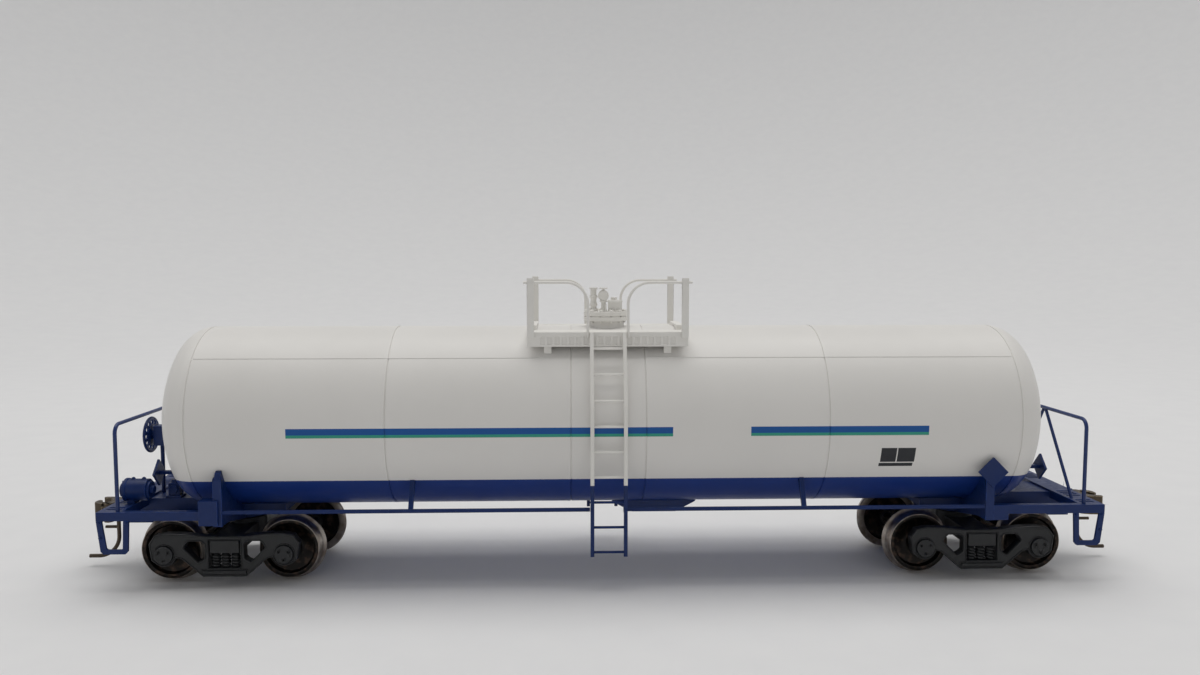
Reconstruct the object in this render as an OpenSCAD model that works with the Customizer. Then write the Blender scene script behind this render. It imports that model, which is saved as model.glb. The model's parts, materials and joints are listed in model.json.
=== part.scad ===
// Model tank wagon in 1:87 scale, with two four-wheel trucks.
// Millimetres. X runs along the wagon, Z is up, and Z = 0 is the flat surface
// that the wheel flanges stand on. The wagon's centre is over the origin.

/* [Tank] */
// Length of the tank jacket between the two head seams
barrel_len = 142; // [118:1:172]
// Outside radius of the tank jacket
tank_r = 16.15; // [13.45:0.05:19.4]
// Wall of the tank and of its heads
tank_wall = 1.1; // [0.8:0.1:1.6]
// How far the underside of the tank lies below the walkways
tank_sink = 1.95; // [1.6:0.05:2.1]
// How far each dished head stands out from its seam
head_depth = 8; // [6.6:0.1:9.6]
// Distance of the inner pair of jacket seams from the middle
inner_seam_x = 6.4; // [5:0.1:12]
// Distance of the outer pair of jacket seams from the middle
outer_seam_x = 37.7; // [25:0.1:50]
// Depth of a jacket seam
seam_depth = 0.12; // [0.05:0.01:0.2]

/* [Running gear] */
// How far each truck's centre lies inside its head seam
truck_inset = 5; // [4:0.5:10]
// Distance between the two axles of one truck
wheelbase = 20.4; // [17:0.1:24.5]
// Radius of the wheel tread
tread_r = 5.25; // [4.4:0.05:6.3]
// How far the flange stands out from the tread
flange_h = 0.65; // [0.4:0.05:0.8]
// Distance between the backs of two wheels on one axle
back_to_back = 14.4; // [12:0.05:17.3]
// Width of a wheel over tread and flange
wheel_w = 2.8; // [2.3:0.1:3.4]
// Radius of an axle's shank
axle_r = 1; // [0.8:0.05:1.2]
// Wall of the insulating bush between a wheel and its axle
bush_wall = 0.4; // [0.3:0.05:0.5]
// Gap between the outer face of a wheel and the side frame
wheel_side_gap = 1.3; // [1.1:0.05:1.6]
// How far each axle point reaches into its side frame
point_reach = 1.1; // [0.9:0.05:1.2]
// Thickness of a side frame
frame_t = 1.7; // [1.4:0.1:2]
// Running gap round each axle point
axle_gap = 0.06; // [0.03:0.01:0.08]

/* [Underframe] */
// How far the underframe stands out past each head seam
end_reach = 15.3; // [14.3:0.1:18.4]
// How far each side sill lies inside the side of the tank
frame_inset = 0.65; // [0.5:0.05:0.8]
// Height of the walkways above the top of the wheels
deck_gap = 2.2; // [1.9:0.1:2.6]
// Thickness of the walkway
deck_t = 0.4; // [0.3:0.05:0.6]
// Width of each end walkway, measured along the wagon
walkway_w = 4.1; // [3.6:0.1:4.6]
// Half the width of the stub sill
sill_half_w = 4.1; // [3.8:0.1:4.2]
// Height of the bolster's upright ends above the walkways
bolster_rise = 6.8; // [5.7:0.1:8.1]
// Height of the handrail across each end above the walkways
end_rail_h = 14.7; // [12.3:0.1:17.6]
// Radius of the end handrail's wire
end_rail_r = 0.32; // [0.25:0.01:0.36]
// Height of the underside of the step irons
step_z = 6.8; // [5.7:0.1:8.1]

/* [Couplers] */
// Height of the coupler's middle
coupler_z = 10.55; // [10.45:0.05:10.6]
// How far the coupler's pivot lies inside the end of the underframe
coupler_inset = 4.8; // [4.6:0.1:5]
// Radius of the post that the coupler turns on
post_r = 1.55; // [1.45:0.05:1.85]
// Running gap between a turning piece and its pin or post
pivot_gap = 0.06; // [0.03:0.01:0.1]
// Radius of the frame screws' threads
screw_r = 1.09; // [0.9:0.01:1.3]
// Radius of the trip pin
trip_r = 0.35; // [0.25:0.01:0.42]

/* [Top platform and ladders] */
// Half the length of the top platform
platform_half = 13.9; // [11.6:0.1:16.7]
// How far the platform's edge lies inside the side of the tank
platform_inset = 4.25; // [3.8:0.05:5.3]
// How far the platform's walking surface lies below the crown of the tank
platform_sink = 0.4; // [0.2:0.05:0.5]
// Height of the platform's handrails above its walking surface
platform_rail_h = 8.55; // [7.1:0.05:10.3]
// Width of a ladder over its two stiles
ladder_w = 6.3; // [5.3:0.1:7.5]
// Distance between two rungs
rung_pitch = 4.3; // [3.6:0.05:5.2]
// Distance from the side of the tank to the outer face of a ladder
ladder_gap = 1.05; // [0.95:0.05:1.6]

/* [Hidden] */
$fn = 48;
tiny = 0.01;
seat_gap = 0.05;
barrel_half = barrel_len / 2;

// Running gear sizes worked out from the driving ones
axle_z = tread_r + flange_h;
truck_x = barrel_half - truck_inset;
frame_in = back_to_back / 2 + wheel_w + wheel_side_gap;
frame_out = frame_in + frame_t;
axle_half = frame_in + point_reach;
point_tip_r = 0.12;
bush_r = axle_r + bush_wall;

// Heights of the body, stacked up from the trucks
boss_z = axle_z + 3.7;
sill_z = boss_z + 1.3;
deck_z = 2 * axle_z + deck_gap;
sill_top_z = deck_z - deck_t;
tank_low_z = deck_z - tank_sink;
tank_z = tank_low_z + tank_r;
crown_z = tank_z + tank_r;

// Dished head: a wide crown that runs tangentially into a tight knuckle
knuckle_r = 5;
knuckle_c = tank_r - knuckle_r;
crown_drop = (knuckle_c * knuckle_c - (head_depth - knuckle_r) * (head_depth - knuckle_r))
    / (2 * (head_depth - knuckle_r));
crown_r = head_depth + crown_drop;
tangent_r = knuckle_c * crown_r / (crown_r - knuckle_r);

// Underframe sizes worked out from the driving ones
frame_half = barrel_half + end_reach;
frame_half_w = tank_r - frame_inset;
sill_x = frame_half - 0.8;
sill_in_x = truck_x - 8;
bolster_x = truck_x;
bolster_top_z = deck_z + bolster_rise;
bolster_low_z = sill_z + 0.5;
bolster_out = frame_half_w + 0.1;
bolster_round_r = 0.6;
bolster_t = 1;
bolster_edge_w = 1.5;
bolster_edge_t = 0.6;
side_sill_h = 1.5;
side_sill_t = 0.5;
side_flange_w = 1.3;
side_rail_y = frame_half_w - 0.2;
side_rail_z = deck_z - 0.2;
side_rail_r = 0.35;
end_rail_x = frame_half - walkway_w + 0.8;
end_rail_y = frame_half_w - 0.9;
end_rail_z = deck_z + end_rail_h;
end_board_x = frame_half - 5.6;
end_board_y = -3;
end_board_z = deck_z + 4.1;
hanger_x = 33.7;

// Skid and brake rod under the tank
skid_x = 8.8;
skid_low_z = tank_low_z - 1.85;
skid_half_w = 3.2;
brake_rod_y = 2;
brake_rod_z = sill_z + 0.5;
brake_rod_r = 0.25;

// Steel bar inside the tank: its lower edges clear the wall by ballast_gap
ballast_half = barrel_half - 19;
ballast_half_w = 8;
ballast_h = 8;
ballast_gap = 0.15;
ballast_low_z = tank_z + ballast_gap
    - sqrt((tank_r - tank_wall) * (tank_r - tank_wall) - ballast_half_w * ballast_half_w);
ballast_seat = 2;
ballast_screw_x = 38;

// Truck sizes in the truck's own frame, centred on its king screw
frame_bottom_z = axle_z - 3.95;
window_w = 5.4;
window_low_z = axle_z - 2.4;
window_top_z = axle_z + 2.4;
truck_beam_low_z = axle_z + 0.2;
truck_plate_z = boss_z - 0.1;
screw_head_r = 1.9;
screw_head_t = 1.2;
head_seat_z = truck_beam_low_z + 1.5;

// Coupler box: a pocket under the stub sill, closed by a lid
coupler_x = frame_half - coupler_inset;
box_x0 = frame_half - 8.7;
box_x1 = frame_half - 0.1;
box_half_w = 3.7;
box_wall = 0.75;
pocket_low_z = coupler_z - 1;
pocket_top_z = coupler_z + 1;
lid_t = 0.5;
shank_t = 1.7;
head_half_h = 1.75;
knuckle_pin_u = 9.1;
knuckle_pin_v = 1.9;
knuckle_pin_r = 0.4;
trip_u = 8.3;
trip_reach = 13.8;
trip_low_z = 1.9;
trip_bend = 3.8;
stub_drop = 3.2;
stub_len = 2.4;

// Top platform and ladder sizes
platform_half_w = tank_r - platform_inset;
platform_z = crown_z - platform_sink;
platform_rail_z = platform_z + platform_rail_h;
platform_t = 0.5;
foot_x = platform_half - 3.5;
platform_gap_y = 5.6;
skirt_h = 2;
skirt_t = 0.7;
panel_w = 0.85;
panel_pitch = 1.25;
panel_depth = 0.2;
post_w = 1.2;
post_t = 0.5;
post_x = platform_half - post_w / 2;
post_top_z = platform_rail_z + 0.75;
platform_wire_r = 0.25;
platform_wire_y = platform_half_w + platform_wire_r;
platform_bend = 3.8;
gate_x = ladder_w / 2 + 0.3;
stile_w = 0.65;
stile_t = 0.5;
rung_r = 0.22;
ladder_y = tank_r + ladder_gap;
ladder_foot_z = 6.1;
ladder_split_z = deck_z + 4.35;
ladder_bend_z = tank_z + 3.3;
ladder_top_z = platform_z - 0.05;
first_rung_z = ladder_foot_z + 0.75;
lower_rungs = 1 + floor((ladder_split_z - 0.5 - first_rung_z) / rung_pitch);
rungs = 1 + floor((ladder_top_z - 1 - first_rung_z) / rung_pitch);

// Valves and manway on the crown of the tank
neck_r = 3.4;
neck_top_z = crown_z + 0.95;
cover_r = 4;
cover_t = 1.7;
cover_top_z = neck_top_z + cover_t;
cover_bolts = 12;
cover_bolt_pcr = 3.6;
relief_x = -2.2;
hand_x = -0.4;

// Brake gear at the left end
brake_wheel_r = 3.3;
brake_wheel_z = deck_z + 10.5;
wheel_holes = 12;
wheel_hole_r = 0.42;
brake_stand_x = frame_half - 4.7;
reservoir_y = -8.6;
reservoir_r = 1.9;

white = "whitesmoke";
blue = "#20356f";
black = "#26282b";
steel = "#8d7f72";
bronze = "#5b5348";

// ---------- placing helpers ----------

// A box from its lowest to its highest corner
module block(low, high) {
    translate(low) cube(high - low);
}

// The same shape at the left end, as a mirror image of the right one
module left_end() mirror([1, 0, 0]) children();

// The same shape on both sides of the wagon
module both_sides() {
    children();
    mirror([0, 1, 0]) children();
}

// The same shape at both ends of the wagon
module both_ends() {
    children();
    mirror([1, 0, 0]) children();
}

// The same shape at all four corners
module four_corners() both_ends() both_sides() children();

// The same shape at one corner and at the corner diagonally across
module half_turn() {
    children();
    rotate([0, 0, 180]) children();
}

// A round rod between two points
module rod(a, b, r) {
    d = b - a;
    translate(a)
        rotate([0, acos(d[2] / norm(d)), atan2(d[1], d[0])])
            cylinder(r = r, h = norm(d));
}

// A rod along X, from x0 to x1
module rod_x(x0, x1, r) {
    translate([x0, 0, 0]) rotate([0, 90, 0]) cylinder(r = r, h = x1 - x0);
}

// A rod along Y, from y0 to y1
module rod_y(y0, y1, r) {
    translate([0, y0, 0]) rotate([-90, 0, 0]) cylinder(r = r, h = y1 - y0);
}

// A quarter bend of wire in the XZ plane: it joins a run along +X at the top
// to a run straight down, and its centre of curvature is at the origin
module bend_xz(bend_r, wire_r) {
    rotate([90, 0, 0])
        rotate_extrude(angle = 90)
            translate([bend_r, 0]) circle(r = wire_r);
}

// ---------- tank ----------

// Half outline of a dished head, radius along X and height along Y.
// inset moves the whole outline inwards, and a negative one moves it outwards.
module head_outline(inset) {
    intersection() {
        translate([0, -crown_drop]) circle(r = crown_r - inset, $fn = 180);
        translate([0, -tiny])
            square([knuckle_c + (tangent_r - knuckle_c) * (1 - inset / knuckle_r), head_depth + 5]);
    }
    intersection() {
        translate([knuckle_c, 0]) circle(r = knuckle_r - inset, $fn = 90);
        translate([knuckle_c, -tiny]) square([knuckle_r + 5, knuckle_r + 5]);
    }
}

// A solid dished head whose flat back is at x = barrel_half
module head_solid(inset) {
    translate([barrel_half, 0, tank_z])
        rotate([0, 90, 0])
            rotate_extrude($fn = 180) intersection() {
                head_outline(inset);
                square([tank_r + 5, head_depth + 5]);
            }
}

// The tank's outside, grown by a seating gap, for what is cut to sit against it
module tank_envelope(gap) {
    translate([0, 0, tank_z])
        rod_x(-barrel_half - tiny, barrel_half + tiny, tank_r + gap, $fn = 180);
    both_ends() head_solid(-gap);
}

module seam_ring(x, width) {
    translate([x, 0, tank_z]) rotate([0, 90, 0])
        rotate_extrude($fn = 180)
            translate([tank_r - seam_depth, -width / 2]) square([1, width]);
}

// Jacketed tank barrel with the manway neck on its crown and two screw bosses inside
module tank_barrel() {
    color(white) difference() {
        union() {
            translate([0, 0, tank_z]) rod_x(-barrel_half, barrel_half, tank_r, $fn = 180);
            translate([0, 0, tank_z]) cylinder(r = neck_r, h = neck_top_z - tank_z);
        }
        difference() {
            translate([0, 0, tank_z])
                rod_x(-barrel_half - 1, barrel_half + 1, tank_r - tank_wall, $fn = 180);
            both_ends() translate([ballast_screw_x, 0, 0])
                cylinder(r = 3, h = ballast_low_z - seat_gap);
        }
        both_ends() translate([ballast_screw_x, 0, tank_low_z + 0.4])
            cylinder(r = screw_r, h = ballast_low_z - tank_low_z);
        translate([0, 0, tank_z]) cylinder(r = neck_r - tank_wall, h = 30);
        for (x = [-outer_seam_x, -inner_seam_x, inner_seam_x, outer_seam_x])
            seam_ring(x, 0.2);
        both_ends() seam_ring(barrel_half, 0.24);
    }
}

// Dished head with a spigot that plugs into the barrel
module tank_head() {
    spigot_r = tank_r - tank_wall - seat_gap;
    color(white) difference() {
        union() {
            head_solid(0);
            translate([0, 0, tank_z]) rod_x(barrel_half - 3, barrel_half, spigot_r, $fn = 180);
        }
        head_solid(tank_wall);
        translate([0, 0, tank_z])
            rod_x(barrel_half - 4, barrel_half + tiny, spigot_r - tank_wall, $fn = 180);
        seam_ring(barrel_half, 0.24);
    }
}

// Steel bar inside the tank that brings the wagon to its running weight
module ballast_weight() {
    color("dimgray") difference() {
        block([-ballast_half, -ballast_half_w, ballast_low_z],
            [ballast_half, ballast_half_w, ballast_low_z + ballast_h]);
        both_ends() translate([ballast_screw_x, 0, 0])
            cylinder(r = screw_r + pivot_gap, h = tank_z + 10);
        both_ends() translate([ballast_screw_x, 0, ballast_low_z + ballast_seat])
            cylinder(r = screw_head_r + 0.3, h = tank_z);
    }
}

// Cross-recessed pan-head screw, its head's underside at the origin and its shank upwards
module frame_screw(shank) {
    difference() {
        union() {
            cylinder(r = screw_r, h = shank);
            translate([0, 0, -screw_head_t]) cylinder(r = screw_head_r, h = screw_head_t);
        }
        for (a = [0, 90]) rotate([0, 0, a])
            translate([-screw_head_r * 0.6, -0.2, -screw_head_t - tiny])
                cube([screw_head_r * 1.2, 0.4, 0.6]);
    }
}

// Two king screws, two coupler box screws and two ballast screws, all alike but in length
module frame_screws() {
    color("silver") both_ends() {
        translate([truck_x, 0, head_seat_z - 0.1]) frame_screw(sill_z + 0.9 - head_seat_z);
        translate([coupler_x, 0, pocket_low_z - lid_t]) frame_screw(pocket_top_z + 0.9 - pocket_low_z);
        translate([ballast_screw_x, 0, ballast_low_z + ballast_seat]) mirror([0, 0, 1])
            frame_screw(ballast_low_z + ballast_seat - tank_low_z - tank_wall);
    }
}

// ---------- underframe ----------

// Stub sill: a beam under one end of the tank, with the coupler pocket in its outer end
module stub_sill() {
    color(blue) difference() {
        union() {
            block([sill_in_x, -sill_half_w, sill_z], [sill_x, sill_half_w, sill_top_z]);
            block([box_x0, -box_half_w, pocket_low_z], [box_x1, box_half_w, sill_z + 1.3]);
        }
        tank_envelope(seat_gap);
        difference() {
            block([box_x0 + box_wall, -box_half_w + box_wall, pocket_low_z - 1],
                [box_x1 + 1, box_half_w - box_wall, pocket_top_z]);
            translate([coupler_x, 0, 0]) cylinder(r = post_r, h = pocket_top_z + 1);
        }
        translate([coupler_x, 0, 0]) cylinder(r = screw_r, h = pocket_top_z + 0.9 + seat_gap);
        translate([truck_x, 0, 0]) cylinder(r = screw_r, h = sill_top_z);
    }
}

// Body bolster: an upright cross plate whose edge is cut to cradle the tank
module body_bolster() {
    out = bolster_out;
    color(blue) difference() {
        union() {
            translate([bolster_x - bolster_t / 2, 0, 0]) rotate([90, 0, 90])
                linear_extrude(bolster_t) both_halves() bolster_outline(out);
            both_sides() block(
                [bolster_x - bolster_edge_w / 2, out - bolster_edge_t, bolster_low_z],
                [bolster_x + bolster_edge_w / 2, out, bolster_top_z - 1.6]);
            both_sides() translate([bolster_x - bolster_edge_w / 2, out - bolster_edge_t, 0])
                rotate([90, 0, 90]) linear_extrude(bolster_edge_w) intersection() {
                    translate([0, bolster_top_z - 1.6]) circle(r = bolster_round_r);
                    translate([0, bolster_top_z - 1.6]) square(2);
                }
            translate([bolster_x, 0, boss_z]) cylinder(r = 3, h = sill_z - boss_z);
        }
        block([bolster_x - 5, -sill_half_w, sill_z], [bolster_x + 5, sill_half_w, tank_z]);
        tank_envelope(seat_gap);
        translate([bolster_x, 0, 0]) cylinder(r = screw_r, h = tank_z);
    }
}

module both_halves() {
    children();
    mirror([1, 0]) children();
}

// Half outline of the bolster plate, across the wagon and upwards
module bolster_outline(out) {
    difference() {
        polygon([[0, boss_z], [3.2, boss_z], [out - 4.1, bolster_low_z - 0.2],
            [out, bolster_low_z], [out, bolster_top_z - 1.4], [out - 0.5, bolster_top_z - 0.3],
            [out - 1.1, bolster_top_z], [out - 2, bolster_top_z], [0, deck_z]]);
        translate([0, tank_z]) circle(r = tank_r - 0.5, $fn = 180);
    }
}

// Side sills: an angle on each side of each end, with a jacking pad or a deep box
module side_sill_bar() {
    color(blue) {
        x0 = bolster_x + bolster_edge_w / 2;
        y1 = frame_half_w;
        difference() {
            union() {
                block([x0, y1 - side_sill_t, deck_z - side_sill_h], [frame_half, y1, deck_z]);
                block([x0, y1 - side_flange_w, sill_top_z], [frame_half, y1, deck_z]);
                children();
            }
            translate([end_rail_x, end_rail_y, sill_top_z - 2]) cylinder(r = end_rail_r + 0.02, h = 4);
        }
    }
}

module jacking_pad() {
    x0 = bolster_x + bolster_edge_w / 2;
    block([x0, frame_half_w - 2.2, bolster_low_z],
        [x0 + 2.6, frame_half_w, deck_z - side_sill_h + tiny]);
}

module deep_box() {
    x0 = bolster_x + bolster_edge_w / 2;
    low = bolster_low_z + 0.3;
    high = deck_z + 1.9;
    block([x0, frame_half_w - 2.2, low], [x0 + 2.3, bolster_out + tiny, high]);
    block([x0 - 0.9, bolster_out, low], [x0 + 2.3, bolster_out + 0.45, high]);
}

module side_sills() half_turn() {
    mirror([0, 1, 0]) side_sill_bar() jacking_pad();
    side_sill_bar() deep_box();
}

// End walkway: a grating with a turned-down edge along both of its long sides
module end_platform() {
    x0 = frame_half - walkway_w;
    y1 = frame_half_w - side_flange_w;
    margin = 0.75;
    pitch = 1.1;
    slot_w = 0.6;
    solid_y = 10.5;
    color(blue) {
        difference() {
            block([x0, -y1, sill_top_z], [frame_half, y1, deck_z]);
            both_sides() for (i = [1 : floor((y1 - 0.9) / pitch)])
                if (i * pitch - slot_w / 2 > sill_half_w + 0.3 && abs(i * pitch - solid_y) > 0.9)
                    block([x0 + margin, i * pitch - slot_w / 2, sill_top_z - 1],
                        [frame_half - margin, i * pitch + slot_w / 2, deck_z + 1]);
        }
        both_sides() {
            walkway_lip(frame_half - 0.5, frame_half, deck_z - 1.7);
            walkway_lip(x0, x0 + 0.4, deck_z - 1.5);
        }
    }
}

// Turned-down edge of a walkway: it passes under the flange of the side sill
module walkway_lip(x0, x1, low_z) {
    y0 = sill_half_w + 0.3;
    y1 = frame_half_w - side_flange_w;
    block([x0, y0, low_z], [x1, y1, deck_z - 0.1]);
    block([x0, y1 - 0.5, low_z], [x1, frame_half_w - side_sill_t, sill_top_z]);
}

// Bent wire rail across one end, its two feet in the side sills
module end_rail_wire() {
    bend = 1.6;
    r = end_rail_r;
    translate([end_rail_x, 0, 0]) rotate([0, 0, 90]) {
        both_ends() {
            translate([end_rail_y, 0, deck_z - 1]) cylinder(r = r, h = end_rail_z - bend - deck_z + 1);
            translate([end_rail_y - bend, 0, end_rail_z - bend]) bend_xz(bend, r);
        }
        translate([0, 0, end_rail_z]) rod_x(-end_rail_y + bend, end_rail_y - bend, r);
    }
}

module end_rail_left() color(blue) left_end() end_rail_wire();

// The right end's rail has two slanting stays that meet at the middle of its top
module end_rail_right() {
    color(blue) {
        end_rail_wire();
        difference() {
            both_sides() rod([end_rail_x, end_rail_y - 3.6, deck_z - 0.6],
                [end_rail_x, 0.2, end_rail_z], 0.28);
            block([end_rail_x - 2, -20, deck_z - 3], [end_rail_x + 2, 20, deck_z]);
        }
    }
}

// Stirrup steps of flat strap, one under each corner
module step_iron() {
    top = deck_z - side_sill_h;
    strap = 0.9;
    x0 = frame_half - 5.4;
    x1 = frame_half;
    translate([0, frame_half_w, 0]) rotate([90, 0, 0]) linear_extrude(side_sill_t) difference() {
        polygon([[x0, top], [x0 + 0.25, step_z + 0.5], [x0 + 0.7, step_z],
            [x1 - 1.1, step_z], [x1 - 0.6, step_z + 0.5], [x1, top]]);
        polygon([[x0 + strap, top + 1], [x0 + strap, top], [x0 + strap + 0.2, step_z + 1],
            [x0 + strap + 0.4, step_z + 0.8], [x1 - strap - 0.9, step_z + 0.8],
            [x1 - strap - 0.65, step_z + 1], [x1 - strap, top], [x1 - strap, top + 1]]);
    }
}

module step_irons() color(blue) four_corners() step_iron();

// Diamond boards: two on the bolster ends, diagonally across, and one at each end
module diamond(half, t) rotate([90, 0, 0]) linear_extrude(t) circle(r = half, $fn = 4);

module placard_boards() {
    color(blue) {
        half_turn() translate([bolster_x + 0.3, -bolster_out, bolster_top_z - 0.9])
            diamond(2.6, 0.4);
        both_ends() difference() {
            union() {
                translate([end_board_x, end_board_y, end_board_z])
                    rotate([0, 0, 90]) diamond(2.4, 0.4);
                block([barrel_half, end_board_y - 0.5, end_board_z - 0.3],
                    [end_board_x + tiny, end_board_y + 0.5, end_board_z + 0.3]);
            }
            tank_envelope(seat_gap);
        }
    }
}

// Low rail along each side, in a run to each side of the ladder, with one hanger each
module side_rail() {
    x0 = ladder_w / 2 + seat_gap;
    x1 = bolster_x - bolster_edge_w / 2 - seat_gap;
    difference() {
        union() {
            translate([0, side_rail_y, side_rail_z]) rod_x(x0, x1, side_rail_r);
            translate([hanger_x - 0.4, 0, 0]) rotate([90, 0, 90]) linear_extrude(0.8)
                polygon([[side_rail_y - 0.3, side_rail_z - 0.3], [side_rail_y + 0.3, side_rail_z - 0.1],
                    [tank_r - 3.05, tank_z - 9.5], [tank_r - 4.15, tank_z - 9.9]]);
        }
        tank_envelope(seat_gap);
    }
}

module side_rails() color(blue) four_corners() side_rail();

// Sump and skid under the bottom outlet
module skid_block(gap) {
    translate([0, skid_half_w + gap, 0]) rotate([90, 0, 0]) linear_extrude(2 * (skid_half_w + gap))
        polygon([[skid_x - 8.6 - gap, tank_low_z + 1.15], [skid_x - 7.5 - gap, tank_low_z - 0.05],
            [skid_x - 4 - gap, skid_low_z], [skid_x + 4, skid_low_z],
            [skid_x + 7.5, tank_low_z - 0.05], [skid_x + 8.6, tank_low_z + 1.15]]);
}

module outlet_skid() {
    color(blue) difference() {
        skid_block(0);
        tank_envelope(seat_gap);
        translate([skid_x, 0, skid_low_z - tiny]) cylinder(r = 1.6, h = 0.7);
    }
}

// Brake rod that runs under the tank from the left stub sill to the skid
module brake_rod() {
    color(blue) difference() {
        translate([0, brake_rod_y, brake_rod_z]) rod_x(-sill_in_x, skid_x - 4, brake_rod_r);
        skid_block(seat_gap);
    }
}

// ---------- top platform and valves ----------

// Two walkways beside the manway, joined by a strap over the crown at each end,
// with a panelled valance under each outer edge
module platform_deck() {
    skirt_top_z = platform_z - platform_t;
    color(white) {
        difference() {
            both_sides() block([-platform_half, platform_gap_y, platform_z - platform_t],
                [platform_half, platform_half_w, platform_z]);
            tank_envelope(seat_gap);
        }
        both_sides() difference() {
            block([-platform_half, platform_half_w - skirt_t, skirt_top_z - skirt_h],
                [platform_half, platform_half_w, skirt_top_z + tiny / 2]);
            for (x = [0 : panel_pitch : post_x - post_w / 2 - panel_w]) both_ends()
                block([x - panel_w / 2, platform_half_w - panel_depth, skirt_top_z - skirt_h + 0.35],
                    [x + panel_w / 2, platform_half_w + 1, skirt_top_z - 0.25]);
        }
        both_ends() difference() {
            block([platform_half - 1.4, -platform_gap_y - 0.6, platform_z - tiny / 2],
                [platform_half, platform_gap_y + 0.6, crown_z + 0.45]);
            tank_envelope(seat_gap);
        }
    }
}

// Feet that carry the platform on the shoulders of the tank
module platform_brackets() {
    y1 = platform_half_w - 1;
    color(white) four_corners() difference() {
        block([foot_x - 0.65, y1 - 1.3, tank_z + sqrt(tank_r * tank_r - y1 * y1) - 1],
            [foot_x + 0.65, y1, platform_z - platform_t]);
        tank_envelope(seat_gap);
    }
}

// Four flat posts, each drilled for the handrail
module platform_posts() {
    color(white) four_corners() difference() {
        block([post_x - post_w / 2, platform_half_w, platform_z - 0.95],
            [post_x + post_w / 2, platform_half_w + post_t, post_top_z]);
        translate([post_x - 2, platform_wire_y, platform_rail_z])
            rod_x(0, 4, platform_wire_r + 0.02);
    }
}

// Handrails: each runs from its post and bends down beside the ladder gap
module platform_rails() {
    color(white) four_corners() translate([0, platform_wire_y, 0]) {
        translate([0, 0, platform_rail_z])
            rod_x(gate_x + platform_bend, platform_half + 0.6, platform_wire_r);
        translate([gate_x + platform_bend, 0, platform_rail_z - platform_bend])
            mirror([1, 0, 0]) bend_xz(platform_bend, platform_wire_r);
        translate([gate_x, 0, platform_z - 0.95])
            cylinder(r = platform_wire_r, h = platform_rail_z - platform_bend - platform_z + 0.95);
    }
}

// Distance out from the centre line of a ladder's outer face at one height
function ladder_out(z) = z < ladder_bend_z ? ladder_y
    : ladder_y - (z - ladder_bend_z) * (ladder_y - platform_half_w - stile_t - 0.4)
        / (ladder_top_z - ladder_bend_z);

// Upper ladder: upright beside the tank, then leaning in to the platform
module ladder_upper() {
    both_ends() {
        translate([ladder_w / 2 - stile_w, 0, 0]) rotate([90, 0, 90]) linear_extrude(stile_w)
            polygon([[ladder_y - stile_t, ladder_split_z], [ladder_y, ladder_split_z],
                [ladder_y, ladder_bend_z], [ladder_out(ladder_top_z), ladder_top_z],
                [platform_half_w + seat_gap, ladder_top_z],
                [platform_half_w + seat_gap, ladder_top_z - 0.5],
                [ladder_out(ladder_top_z) - stile_t, ladder_top_z - 0.8],
                [ladder_y - stile_t, ladder_bend_z]]);
        difference() {
            block([ladder_w / 2 - stile_w, tank_r - 1, tank_z - 0.3],
                [ladder_w / 2, ladder_y - stile_t + tiny, tank_z + 0.3]);
            tank_envelope(seat_gap);
        }
    }
    for (i = [lower_rungs : rungs - 1]) {
        z = first_rung_z + i * rung_pitch;
        translate([0, ladder_out(z) - stile_t / 2, z])
            rod_x(-ladder_w / 2 + 0.1, ladder_w / 2 - 0.1, rung_r);
    }
}

module ladder_uppers() color(white) both_sides() ladder_upper();

// Lower ladder: hangs from the upper one and is tied to the side rail
module ladder_lower() {
    both_ends() {
        block([ladder_w / 2 - stile_w, ladder_y - stile_t, ladder_foot_z],
            [ladder_w / 2, ladder_y, ladder_split_z]);
        block([ladder_w / 2 - stile_w, side_rail_y - 0.45, side_rail_z - 0.45],
            [ladder_w / 2, ladder_y - stile_t + tiny, side_rail_z + 0.45]);
    }
    for (i = [0 : lower_rungs - 1])
        translate([0, ladder_y - stile_t / 2, first_rung_z + i * rung_pitch])
            rod_x(-ladder_w / 2 + 0.1, ladder_w / 2 - 0.1, rung_r);
}

module ladder_lowers() color(blue) both_sides() ladder_lower();

// Places a ring of like shapes about the middle of the manway
module round_manway(n, r) {
    for (i = [0 : n - 1]) rotate([0, 0, (i + 0.5) * 360 / n]) translate([r, 0, 0]) children();
}

// Bolted cover of the manway
module manway_cover() {
    color(white) difference() {
        union() {
            translate([0, 0, neck_top_z]) cylinder(r = cover_r, h = cover_t * 0.45);
            translate([0, 0, neck_top_z]) cylinder(r = cover_r - 0.2, h = cover_t * 0.6);
            translate([0, 0, neck_top_z + cover_t * 0.55]) cylinder(r = cover_r, h = cover_t * 0.45);
        }
        round_manway(cover_bolts, cover_bolt_pcr)
            translate([0, 0, neck_top_z - 1]) cylinder(r = 0.2, h = cover_t + 2);
    }
}

module manway_bolts() {
    color(white) round_manway(cover_bolts, cover_bolt_pcr) {
        translate([0, 0, neck_top_z - 0.3]) cylinder(r = 0.2, h = cover_t + 0.3);
        translate([0, 0, neck_top_z - 0.35]) cylinder(r = 0.19, h = 0.35);
        translate([0, 0, cover_top_z]) cylinder(r = 0.38, h = 0.35, $fn = 6);
    }
}

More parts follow.
